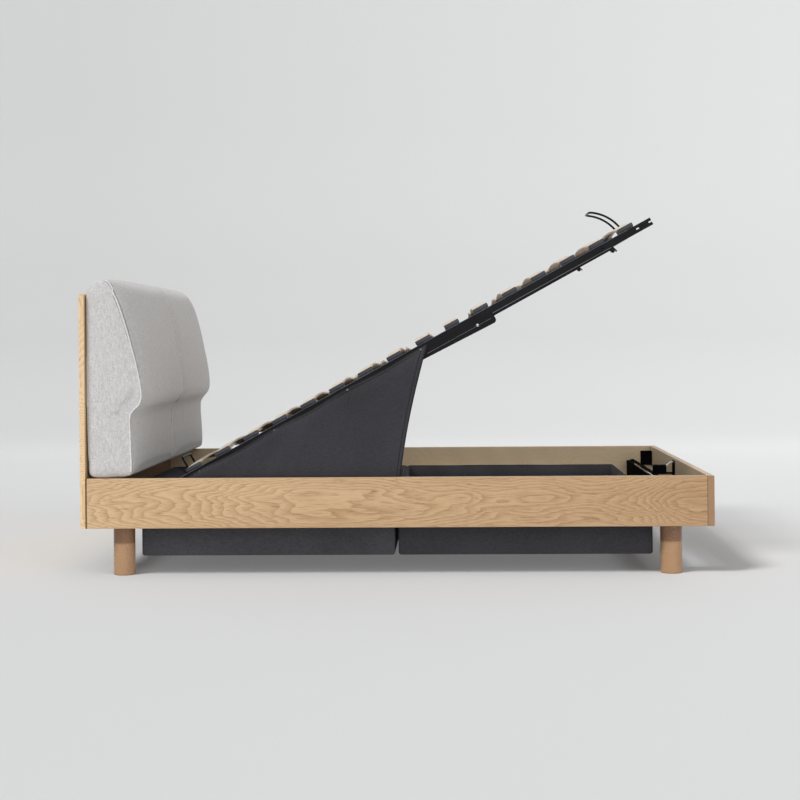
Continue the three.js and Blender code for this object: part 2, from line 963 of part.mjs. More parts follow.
function liftArm({ name, sign }) {
  const shape = linkOutline(
    armFoot,
    armTop,
    linkHalfWidth,
    armEndRadius,
    pivotPinRadius + openPivotFreedom,
  );
  const plate = alongY(shape, sign * linkInner, sign * linkOuter, linkFacets);
  return piece("lift_arm_" + name, plate, finishes.blackSteel);
}

// An angle bar bolted under the side member, with the bosses and pins of the links
function liftPlate({ name, sign }) {
  const x0 = platformHead + liftPlateFromHead;
  const x1 = x0 + liftPlateLength;
  const bottom = closedBottom - liftPlateBelow;
  const top = closedBottom + liftPlateAbove;
  const shape = new THREE.Shape();
  shape.moveTo(x0, bottom);
  shape.absarc(x1 - liftPlateRounding, bottom + liftPlateRounding, liftPlateRounding, -Math.PI / 2, 0);
  shape.absarc(x1 - liftPlateRounding, top - liftPlateRounding, liftPlateRounding, 0, Math.PI / 2);
  shape.lineTo(x0, top);
  const web = alongY(shape, sign * liftPlateInner, sign * liftPlateOuter);
  const flangeTop = closedBottom - fitGap;
  const flange = box(
    x0,
    x1 - liftPlateRounding,
    sign * (liftPlateInner + liftPlateThickness / 2),
    sign * (liftPlateInner - liftFlangeWidth),
    flangeTop - liftFlangeThickness,
    flangeTop,
  );
  const bosses = [headLinkTop, armTop].map(({ x, z }) =>
    discAlongY(x, z, liftBossRadius, sign * liftPlateInner, sign * liftPlateOuter, bossFacets),
  );
  const middle = (liftPlateInner + liftPlateOuter) / 2;
  const pins = [headLinkTop, armTop].map(({ x, z }) =>
    discAlongY(x, z, pivotPinRadius, sign * middle, sign * (linkOuter + layerGap * 2)),
  );
  const heads = [
    [headLinkTop, pivotHeadRadius],
    [armTop, pivotPinRadius + openPivotFreedom + pivotHeadHeight],
  ].map(([{ x, z }, radius]) =>
    discAlongY(x, z, radius, sign * (linkOuter + layerGap), sign * pinHeadOuter),
  );
  const bolt = discAlongY(
    x1 - liftBoltFromEnd,
    closedBottom - liftBoltBelow,
    boltHeadRadius,
    sign * middle,
    sign * (liftPlateOuter + boltHeadHeight / 2),
    boltFacets,
  );
  return piece(
    "lift_plate_" + name,
    joined(web, flange, bolt, ...bosses, ...pins, ...heads),
    finishes.blackSteel,
  );
}

// Gas struts, drawn from their lower pivot along X and then turned into place

function strutPlace(mesh, slide) {
  const group = new THREE.Group();
  group.position.set(strutFoot.x, 0, strutFoot.z);
  group.rotation.y = -(strutClosedAngle + strutTurn);
  mesh.position.x = slide;
  group.add(mesh);
  return group;
}

function latheAlongX(profile, facets) {
  const points = profile.map(([x, r]) => new THREE.Vector2(r, x));
  return new THREE.LatheGeometry(points, facets).rotateZ(-Math.PI / 2);
}

function strutCylinder({ name, sign }) {
  const y = sign * strutPlane;
  const tube = latheAlongX(
    [
      [strutCylinderStart, 0],
      [strutCylinderStart, strutCylinderRadius],
      [strutCylinderEnd, strutCylinderRadius],
      [strutCylinderEnd, strutBoreRadius],
      [strutBoreStart, strutBoreRadius],
      [strutBoreStart, 0],
    ],
    strutFacets,
  ).translate(0, y, 0);
  const half = strutEyeWidth / 2;
  const eye = discAlongY(0, 0, strutEyeRadius, y - half, y + half);
  const neck = box(0, strutCylinderStart + overrun, y - half, y + half, -half, half);
  const hole = discAlongY(0, 0, pivotPinRadius + pinClearance, y - half * 2, y + half * 2);
  const body = joined(tube, eye, neck).subtract(solid(hole));
  return strutPlace(piece("strut_cylinder_" + name, body, finishes.blackSteel), 0);
}

// The rod's eye carries the pin that meets the inner face of the lift plate
function strutRod({ name, sign }) {
  const y = sign * strutPlane;
  const end = strutRaisedLength;
  const rod = latheAlongX(
    [
      [end - strutRodLength, 0],
      [end - strutRodLength, strutRodRadius],
      [end, strutRodRadius],
      [end, 0],
    ],
    strutFacets,
  ).translate(0, y, 0);
  const half = strutEyeWidth / 2;
  const eye = discAlongY(end, 0, strutEyeRadius, y - half, y + half);
  const pin = discAlongY(end, 0, pivotPinRadius, y, sign * (liftPlateInner - layerGap));
  return strutPlace(piece("strut_rod_" + name, joined(rod, eye, pin), finishes.zincSteel), 0);
}

// Slatted platform

function rectangularTube(a0, a1, b0, b1) {
  const shape = outline([
    [a0, b0],
    [a1, b0],
    [a1, b1],
    [a0, b1],
  ]);
  shape.holes.push(
    outline([
      [a0 + tubeWall, b0 + tubeWall],
      [a0 + tubeWall, b1 - tubeWall],
      [a1 - tubeWall, b1 - tubeWall],
      [a1 - tubeWall, b0 + tubeWall],
    ]),
  );
  return shape;
}

// The hooked clip that ends the strip under a side member: shares of the clip's depth,
// counted from the strip's end along the bed and from the strip's lower face
const stripClipShares = [
  [-0.7, 0.3],
  [-0.55, -0.5],
  [-0.2, -0.85],
  [0.2, -0.85],
  [0.35, -0.4],
  [0.7, -1],
  [0.9, -0.85],
  [0.65, 0],
  [0.45, 0.65],
];

// The side member is a tube on a narrower strip, which stops short of the foot end
// with a clip; the tube has two slots through its sides and a notch in its end.
function platformSide({ name, sign }) {
  const [y0, y1] = sideRange(sign, memberInner, platformHalfWidth);
  const tube = alongX(rectangularTube(y0, y1, memberBottom, memberTop), platformHead, platformFoot);
  const stripOuter = platformHalfWidth - stripInset;
  const stripEnd = platformFoot - stripFromFoot;
  const strip = box(
    platformHead,
    stripEnd,
    sign * stripOuter,
    sign * (stripOuter - stripWidth),
    closedBottom,
    memberBottom + tubeWall / 2,
  );
  const clip = alongY(
    outline(
      stripClipShares.map(([along, up]) => [
        stripEnd + along * stripClipDepth,
        closedBottom + up * stripClipDepth,
      ]),
    ),
    sign * stripOuter,
    sign * (stripOuter - stripWidth),
  );
  const middle = (memberBottom + memberTop) / 2;
  const cut = (x0, x1) =>
    solid(
      box(x0, x1, y0 - overrun, y1 + overrun, middle - sideSlotHeight / 2, middle + sideSlotHeight / 2),
    );
  const cuts = sideSlotsFromFoot.map((fromFoot) => {
    const slotMiddle = platformFoot - fromFoot;
    return cut(slotMiddle - sideSlotLength / 2, slotMiddle + sideSlotLength / 2);
  });
  cuts.push(cut(platformFoot - endNotchLength, platformFoot + overrun));
  const member = cuts.reduce((rest, hole) => rest.subtract(hole), joined(tube, strip, clip));
  const studs = studsFromHead.map((fromHead) =>
    discAlongY(
      platformHead + fromHead,
      closedBottom + studAbove,
      studRadius,
      -(platformHalfWidth - tubeWall / 2),
      -(curtainInner - fitGap),
      boltFacets,
    ),
  );
  const whole = sign < 0 ? studs.reduce((sum, stud) => sum.add(solid(stud)), member) : member;
  return piece("platform_side_" + name, whole, finishes.blackSteel);
}

function platformCrossbar(name, x0) {
  const reach = memberInner - fitGap;
  const shape = rectangularTube(x0, x0 + memberWidth, memberBottom, memberTop);
  return piece(name, alongY(shape, -reach, reach), finishes.blackSteel);
}

function centreBeam() {
  const shape = rectangularTube(-beamWidth / 2, beamWidth / 2, memberBottom, memberTop);
  const x0 = platformHead + memberWidth + fitGap;
  const x1 = footTubeX - memberWidth - fitGap;
  return piece("centre_beam", alongX(shape, x0, x1), finishes.blackSteel);
}

// A bowed lath between its end holder and the holder over the centre beam
function lath(x, sign) {
  const outer = platformHalfWidth + holderOverhang - holderFloor;
  const inner = holderFloor;
  const bottom = memberTop + fitGap + holderFoot + slatSeat;
  const under = [];
  const over = [];
  for (let step = 0; step <= slatBowSteps; step++) {
    const share = step / slatBowSteps;
    const y = sign * (inner + (outer - inner) * share);
    const z = bottom + slatBow * Math.sin(share * Math.PI);
    under.push([y, z]);
    over.unshift([y, z + slatThickness]);
  }
  return alongX(outline([...under, ...over]), x - slatWidth / 2, x + slatWidth / 2);
}

// A plastic holder on two short feet, which leave a slot of light under it
function holder(x, y0, y1, foot0, foot1) {
  const bottom = memberTop + fitGap;
  const half = slatWidth / 2;
  const body = box(x - half, x + half, y0, y1, bottom + holderFoot, bottom + holderHeight + holderFloor);
  const feet = [-1, 1].map((end) =>
    box(
      x + end * half,
      x + end * (half - holderFootLength),
      foot0,
      foot1,
      bottom,
      bottom + holderFoot + holderFloor / 2,
    ),
  );
  return [body, ...feet];
}

function slatRow(row) {
  const x = platformFoot - firstSlatFromFoot - row * slatPitch;
  const outer = platformHalfWidth + holderOverhang;
  const ends = sides.flatMap(({ sign }) =>
    holder(
      x,
      ...sideRange(sign, outer - holderLength, outer),
      ...sideRange(sign, memberInner + holderFloor, platformHalfWidth - holderFloor),
    ),
  );
  const centreFoot = beamWidth / 2 - holderFloor / 2;
  const centre = holder(x, -centreHolderHalf, centreHolderHalf, -centreFoot, centreFoot);
  const laths = sides.map(({ sign }) => lath(x, sign));
  const name = "slat_" + String(row + 1).padStart(2, "0");
  return piece(name, joined(...laths, ...ends, ...centre), finishes.birch);
}

function wireAlong(path, steps) {
  const section = new THREE.Shape();
  section.absarc(0, 0, loopWire / 2, 0, Math.PI * 2);
  const geometry = new THREE.ExtrudeGeometry(section, {
    steps,
    curveSegments: loopFacets,
    bevelEnabled: false,
    extrudePath: path,
  });
  return geometryOf(solid(geometry));
}

// A path of straight runs with rounded corners
function bentPath(corners, bend) {
  const path = new THREE.CurvePath();
  let from = corners[0];
  for (let spot = 1; spot + 1 < corners.length; spot++) {
    const corner = corners[spot];
    const into = corner.clone().sub(from).normalize();
    const out = corners[spot + 1].clone().sub(corner).normalize();
    const start = corner.clone().addScaledVector(into, -bend);
    const end = corner.clone().addScaledVector(out, bend);
    path.add(new THREE.LineCurve3(from, start));
    path.add(new THREE.QuadraticBezierCurve3(start, corner, end));
    from = end;
  }
  path.add(new THREE.LineCurve3(from, corners[corners.length - 1]));
  return path;
}

function headRetainerLoop() {
  const x = platformHead + headLoopFromEnd;
  const y = headLoopWidth / 2;
  const z0 = memberTop + fitGap;
  const corners = [
    new THREE.Vector3(x, -y, z0),
    new THREE.Vector3(x, -y, z0 + headLoopHeight),
    new THREE.Vector3(x, y, z0 + headLoopHeight),
    new THREE.Vector3(x, y, z0),
  ];
  const wire = wireAlong(bentPath(corners, loopBend), headLoopSteps);
  return piece("head_retainer_loop", wire, finishes.blackSteel);
}

// The foot loop runs out from the cross tube and then bends up and back over the
// mattress in one wide arc, which ends in a nose with round corners.
function footRetainerLoop() {
  const half = footLoopWidth / 2;
  const x0 = footTubeX + fitGap;
  const z0 = (memberBottom + memberTop) / 2;
  const arc = THREE.MathUtils.degToRad(footLoopArcDegrees);
  const onArc = (along, y) => {
    const angle = along / footLoopRadius;
    return new THREE.Vector3(
      x0 + footLoopReach - footLoopRadius * (1 - Math.cos(angle)),
      y,
      z0 + footLoopRise + footLoopRadius * Math.sin(angle),
    );
  };
  const arcLength = arc * footLoopRadius;
  const straight = arcLength - footLoopNose;
  const leg = [
    new THREE.Vector3(x0, half, z0),
    new THREE.Vector3(x0 + footLoopReach - footLoopRise, half, z0),
    ...[0, 0.25, 0.5, 0.75].map((share) => onArc(share * straight, half)),
    ...[0, Math.PI / 4, Math.PI / 2].map((turn) =>
      onArc(
        straight + footLoopNose * Math.sin(turn),
        half - footLoopNose * (1 - Math.cos(turn)),
      ),
    ),
  ];
  const mirrored = leg.map(({ x, y, z }) => new THREE.Vector3(x, -y, z));
  const path = new THREE.CatmullRomCurve3([...mirrored, ...leg.toReversed()]);
  return piece("foot_retainer_loop", wireAlong(path, footLoopSteps), finishes.blackSteel);
}

// Side curtain

// A cloth sheet between its top hem on the studs and its bottom inside the rail.
// Its main folds run down from the studs and lean a little towards the foot.
function curtainPoint(along, up) {
  const topStart = platformHead + curtainTopFromHead;
  const topHead = rotateAbout(pole, liftAngle, {
    x: topStart,
    z: closedBottom + curtainTopAbove,
  });
  const topFoot = rotateAbout(pole, liftAngle, {
    x: topStart + curtainTopLength,
    z: closedBottom + curtainTopAbove,
  });
  const bottomZ = basePlateBottom + basePlateHeight + fitGap;
  const bottomX = platformHead + curtainBottomFromHead + curtainBottomLength * along;
  const topX = THREE.MathUtils.lerp(topHead.x, topFoot.x, along);
  const topZ = THREE.MathUtils.lerp(topHead.z, topFoot.z, along);
  const bow = curtainHemBow * along * Math.sin(Math.PI * up);
  const hang = Math.sin((Math.PI / 2) * Math.min(1, (1 - up) / curtainPinShare));
  const phase = (along * curtainFoldCount - up * curtainFoldLean) * Math.PI * 2;
  const fold = curtainFold * Math.sin(phase) * hang;
  return new THREE.Vector3(
    THREE.MathUtils.lerp(bottomX, topX, up) - bow,
    -(curtainInner + curtainThickness / 2 + curtainHang * hang + fold),
    THREE.MathUtils.lerp(bottomZ, topZ, up),
  );
}

function sideCurtain() {
  const wide = curtainColumns + 1;
  const tall = curtainRows + 1;
  const positions = [];
  for (const face of [-1, 1]) {
    for (let row = 0; row < tall; row++) {
      for (let column = 0; column < wide; column++) {
        const point = curtainPoint(column / curtainColumns, row / curtainRows);
        positions.push(point.x, point.y + (face * curtainThickness) / 2, point.z);
      }
    }
  }
  const index = [];
  const at = (face, column, row) => face * wide * tall + row * wide + column;
  const quad = (a, b, c, d) => index.push(a, b, c, a, c, d);
  for (let row = 0; row < curtainRows; row++) {
    for (let column = 0; column < curtainColumns; column++) {
      const corners = [
        [column, row],
        [column + 1, row],
        [column + 1, row + 1],
        [column, row + 1],
      ];
      quad(...corners.map(([c, r]) => at(0, c, r)));
      quad(...corners.reverse().map(([c, r]) => at(1, c, r)));
    }
  }
  for (let column = 0; column < curtainColumns; column++) {
    quad(at(0, column + 1, 0), at(0, column, 0), at(1, column, 0), at(1, column + 1, 0));
    const top = curtainRows;
    quad(at(0, column, top), at(0, column + 1, top), at(1, column + 1, top), at(1, column, top));
  }
  for (let row = 0; row < curtainRows; row++) {
    quad(at(0, 0, row), at(0, 0, row + 1), at(1, 0, row + 1), at(1, 0, row));
    const end = curtainColumns;
    quad(at(0, end, row + 1), at(0, end, row), at(1, end, row), at(1, end, row + 1));
  }
  const geometry = new THREE.BufferGeometry();
  geometry.setAttribute("position", new THREE.Float32BufferAttribute(positions, 3));
  geometry.setIndex(index);
  return piece("side_curtain", geometryOf(solid(geometry)), finishes.blackCloth);
}

// The whole bed, with its platform raised

const bed = new THREE.Group();
bed.add(headboardPanel(), footRail(), headRail(), ...sides.map(sideRail));
bed.add(...sides.map(headboardCushion));
for (const { name, sign } of sides) {
  bed.add(leg("head", name, -legX, sign * legY), leg("foot", name, legX, sign * legY));
}
bed.add(footBin(), headBin(), centreCrossbar(), footCrossbar());
for (const side of sides) {
  bed.add(cornerBracket("head", side, headRailFace, 1, headBracketFromTop));
  bed.add(cornerBracket("foot", side, footRailInner, -1, footBracketFromTop));
}
bed.add(footCatchBracket(), footCatchStrap(), sideCurtain());
bed.add(...sides.map(basePlate));
bed.add(turnedAbout(headLinkFoot, headLinkTurn, sides.map(headLink)));
bed.add(turnedAbout(armFoot, armTurn, sides.map(liftArm)));
bed.add(...sides.map(strutCylinder), ...sides.map(strutRod));
bed.add(
  turnedAbout(pole, liftAngle, [
    ...sides.map(platformSide),
    platformCrossbar("platform_head_crossbar", platformHead),
    platformCrossbar("platform_foot_crossbar", footTubeX - memberWidth),
    centreBeam(),
    ...Array.from({ length: slatRows }, (_, row) => slatRow(row)),
    ...sides.map(liftPlate),
    headRetainerLoop(),
    footRetainerLoop(),
  ]),
);

export default bed;
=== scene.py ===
import math
import bmesh
import bpy
from mathutils import Matrix, Vector, noise
from mathutils.bvhtree import BVHTree


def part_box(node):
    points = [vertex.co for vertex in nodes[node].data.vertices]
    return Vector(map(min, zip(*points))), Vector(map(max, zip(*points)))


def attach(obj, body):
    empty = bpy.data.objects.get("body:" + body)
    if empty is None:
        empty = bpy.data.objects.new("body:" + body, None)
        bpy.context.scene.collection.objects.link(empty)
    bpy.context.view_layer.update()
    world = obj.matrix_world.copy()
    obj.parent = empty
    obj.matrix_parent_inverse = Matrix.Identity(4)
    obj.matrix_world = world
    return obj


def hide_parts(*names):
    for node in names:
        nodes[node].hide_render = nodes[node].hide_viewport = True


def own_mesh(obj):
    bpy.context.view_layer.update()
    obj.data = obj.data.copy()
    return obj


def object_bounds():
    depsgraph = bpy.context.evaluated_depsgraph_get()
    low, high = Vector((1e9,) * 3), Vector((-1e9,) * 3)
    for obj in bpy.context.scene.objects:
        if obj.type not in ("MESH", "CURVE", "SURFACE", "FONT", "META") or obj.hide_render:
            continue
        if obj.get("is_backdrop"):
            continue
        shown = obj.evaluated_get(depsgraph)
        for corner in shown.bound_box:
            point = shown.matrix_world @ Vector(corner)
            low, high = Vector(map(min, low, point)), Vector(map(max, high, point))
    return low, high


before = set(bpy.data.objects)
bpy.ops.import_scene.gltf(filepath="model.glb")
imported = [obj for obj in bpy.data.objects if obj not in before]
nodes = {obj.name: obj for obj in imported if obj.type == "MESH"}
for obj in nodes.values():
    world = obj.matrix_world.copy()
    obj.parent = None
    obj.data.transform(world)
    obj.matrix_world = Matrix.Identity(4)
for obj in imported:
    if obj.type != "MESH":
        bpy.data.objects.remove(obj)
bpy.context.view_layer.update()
scene = bpy.context.scene
SIDES = {"near": -1, "far": 1}

# Room between pieces that lie on each other
FIT_GAP = 0.0003

# The raised platform turns about one point; its pieces are drawn closed and then turned
LIFT = math.radians(28.5)
LIFT_TURN = Matrix.Rotation(-LIFT, 3, "Y")
LIFT_POLE = Vector((-0.84278, 0, 0.43649))
PLATFORM_FOOT = 1.078
PLATFORM_HALF_WIDTH = 0.735
PLATFORM_HEAD = -0.912
MEMBER_BOTTOM = 0.292
MEMBER_TOP = 0.319
CLOSED_BOTTOM = 0.284


# Bookkeeping of pieces

def raise_up(bm):
    """Turns a closed piece of the platform to where it stands raised."""
    bmesh.ops.rotate(bm, cent=LIFT_POLE, matrix=LIFT_TURN, verts=bm.verts)


def raised_point(x, z):
    return LIFT_POLE + LIFT_TURN @ (Vector((x, 0, z)) - LIFT_POLE)


def side_range(sign, inner, outer):
    """The range of y between two distances from the middle, on one side of the bed."""
    return sorted((sign * inner, sign * outer))


def finished_piece(name, bm, body, finish, soft_angle=40):
    """Turns a bmesh into a smooth-shaded piece that rides on a body."""
    mesh = bpy.data.meshes.new(name)
    bm.to_mesh(mesh)
    bm.free()
    return placed_mesh(name, mesh, body, finish, soft_angle)


def placed_mesh(name, mesh, body, finish, soft_angle=40):
    piece = bpy.data.objects.new(name, mesh)
    scene.collection.objects.link(piece)
    mesh.materials.clear()
    mesh.materials.append(finish)
    mesh.shade_smooth()
    mesh.set_sharp_from_angle(angle=math.radians(soft_angle))
    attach(piece, body)
    return piece


def round_edges(bm, edges, radius, segments=2):
    """Rounds the edges, and gives the faces along them."""
    return bmesh.ops.bevel(
        bm, geom=edges, offset=radius, offset_type="OFFSET", segments=segments,
        profile=0.5, affect="EDGES", material=-1,
    )["faces"]


def block(bm, low, high, rounding):
    """Adds a box between two corners, with its edges rounded."""
    made = bmesh.ops.create_cube(bm, size=1.0)["verts"]
    bmesh.ops.scale(bm, vec=Vector(high) - Vector(low), verts=made)
    bmesh.ops.translate(bm, vec=(Vector(high) + Vector(low)) / 2, verts=made)
    round_edges(bm, list({edge for vert in made for edge in vert.link_edges}), rounding)


def stud_head(bm, centre, radius, depth, rounding):
    """Adds a round head about a centre, facing across the bed, with its rims rounded."""
    made = bmesh.ops.create_cone(
        bm, cap_ends=True, segments=20, radius1=radius, radius2=radius, depth=depth,
    )["verts"]
    rims = [
        edge
        for edge in {edge for vert in made for edge in vert.link_edges}
        if abs(edge.verts[0].co.z - edge.verts[1].co.z) < depth / 10
    ]
    rim_faces = round_edges(bm, rims, rounding)
    verts = {vert for face in rim_faces for vert in face.verts}
    verts = list(verts | {vert for vert in made if vert.is_valid})
    turn = Matrix.Rotation(-math.pi / 2, 3, "X")
    bmesh.ops.rotate(bm, cent=(0, 0, 0), matrix=turn, verts=verts)
    bmesh.ops.translate(bm, vec=centre, verts=verts)


def tube_mesh(name, points, radius, closed=False, resolution=3):
    """A round wire, cord or piping along a smooth line through the points."""
    line = bpy.data.curves.new(name, "CURVE")
    line.dimensions = "3D"
    line.bevel_depth = radius
    line.bevel_resolution = resolution
    line.use_fill_caps = not closed
    spline = line.splines.new("POLY")
    spline.points.add(len(points) - 1)
    for spot, point in zip(spline.points, points):
        spot.co = (*point, 1)
    spline.use_cyclic_u = closed
    holder = bpy.data.objects.new(name + "_line", line)
    mesh = bpy.data.meshes.new_from_object(holder)
    bpy.data.objects.remove(holder)
    bpy.data.curves.remove(line)
    return mesh


def rounded_path(corners, bend, steps=6):
    """Points along straight runs whose corners are rounded."""
    points = [corners[0]]
    for before, corner, after in zip(corners, corners[1:], corners[2:]):
        start = corner + (before - corner).normalized() * bend
        end = corner + (after - corner).normalized() * bend
        for step in range(steps + 1):
            share = step / steps
            along = start.lerp(corner, share)
            points.append(along.lerp(corner.lerp(end, share), share))
    points.append(corners[-1])
    return points


# Materials

def colour(hex_value):
    """The linear colour of an sRGB hex value such as #C8A070."""
    parts = [int(hex_value[start:start + 2], 16) / 255 for start in (1, 3, 5)]
    linear = [c / 12.92 if c <= 0.04045 else ((c + 0.055) / 1.055) ** 2.4 for c in parts]
    return (*linear, 1)


def add_node(tree, kind, inputs=None, **settings):
    """Adds a shader node with its settings, and sets or links its inputs."""
    node = tree.nodes.new("ShaderNode" + kind)
    for name, value in settings.items():
        setattr(node, name, value)
    for key, value in (inputs or {}).items():
        if isinstance(value, bpy.types.NodeSocket):
            tree.links.new(value, node.inputs[key])
        else:
            node.inputs[key].default_value = value
    return node


def new_material(name):
    """An empty material, its node tree and the place on the piece that a pattern reads."""
    material = bpy.data.materials.new(name)
    material.use_nodes = True
    tree = material.node_tree
    tree.nodes.clear()
    return material, tree, add_node(tree, "TexCoord").outputs["Object"]


def surface(tree, inputs, relief=None):
    """The finished surface. Its relief is a bump's strength and depth, and its pattern."""
    shader = add_node(tree, "BsdfPrincipled", inputs)
    if relief:
        bump = add_node(tree, "Bump", dict(zip(("Strength", "Distance", "Height"), relief)))
        tree.links.new(bump.outputs["Normal"], shader.inputs["Normal"])
    add_node(tree, "OutputMaterial", {"Surface": shader.outputs["BSDF"]})


def ramp(tree, factor, stops):
    """A colour ramp with its stops as pairs of place and sRGB hex colour."""
    node = add_node(tree, "ValToRGB", {"Fac": factor})
    elements = node.color_ramp.elements
    while len(elements) > 1:
        elements.remove(elements[-1])
    elements[0].position, elements[0].color = stops[0][0], colour(stops[0][1])
    for place, value in stops[1:]:
        elements.new(place).color = colour(value)
    return node.outputs["Color"]


def wave_scale(spacing):
    """The Wave texture's scale at which its bands lie a spacing apart."""
    return 2 * math.pi / 20 / spacing


def stretched_noise(tree, place, scale, detail=2.0):
    """A noise with its own scale along each axis."""
    spread = add_node(tree, "Mapping", {"Vector": place, "Scale": scale}).outputs["Vector"]
    return add_node(
        tree, "TexNoise", {"Vector": spread, "Scale": 1.0, "Detail": detail},
    ).outputs["Fac"]


def between(first, second, share):
    """The sRGB hex colour at a share of the way from one to another."""
    pairs = [(int(first[spot:spot + 2], 16), int(second[spot:spot + 2], 16)) for spot in (1, 3, 5)]
    return "#" + "".join(f"{round(a + (b - a) * share):02X}" for a, b in pairs)


def inside(tree, place, axis, limit, sign):
    """1 where a coordinate times its sign is under a limit, and 0 elsewhere."""
    own = add_node(tree, "SeparateXYZ", {"Vector": place}).outputs[axis]
    signed = add_node(tree, "Math", {0: own, 1: sign}, operation="MULTIPLY").outputs["Value"]
    return add_node(tree, "Math", {0: signed, 1: limit}, operation="LESS_THAN").outputs["Value"]


def beyond(tree, place, axis, limit):
    """1 where a coordinate is past a limit on either side, and 0 elsewhere."""
    own = add_node(tree, "SeparateXYZ", {"Vector": place}).outputs[axis]
    reach = add_node(tree, "Math", {0: own}, operation="ABSOLUTE").outputs["Value"]
    return add_node(tree, "Math", {0: reach, 1: limit}, operation="GREATER_THAN").outputs["Value"]


def facing(tree, direction):
    """1 where the surface faces a direction within about 60 degrees, and 0 elsewhere."""
    normal = add_node(tree, "TexCoord").outputs["Normal"]
    amount = add_node(
        tree, "VectorMath", {0: normal, 1: direction}, operation="DOT_PRODUCT",
    ).outputs["Value"]
    return add_node(
        tree, "MapRange", {"Value": amount, "From Min": 0.4, "From Max": 0.6},
    ).outputs["Result"]


def darkened(tree, base, mask, shade):
    """Multiplies a colour by a shade where a mask is 1."""
    return add_node(
        tree, "Mix", {"Factor": mask, 6: base, 7: colour(shade)},
        data_type="RGBA", blend_type="MULTIPLY",
    ).outputs[2]


RING_SPACING = 0.0028
PORE_LENGTH = 0.055
PORE_WIDTH = 0.0022
# Half the length over which a board's tint and the depth of its heart change
HALF_BOARD = 1.1
WANDER = 0.03
# A list of heart depths gives shares: at 0 the heart is nearest, at 1 a span further off
HEART_NEAREST = 0.24
HEART_SPAN = 0.08
# Half the height over which the painted shade on the legs' tops fades
SHADE_FADE = 0.004
# Turns that lay a board's length on the log's axis (X) and its width on Z
GRAIN_TURNS = {
    "X": (0, 0, 0),
    "Y": (0, 0, -math.pi / 2),
    "Z": (0, math.pi / 2, 0),
}


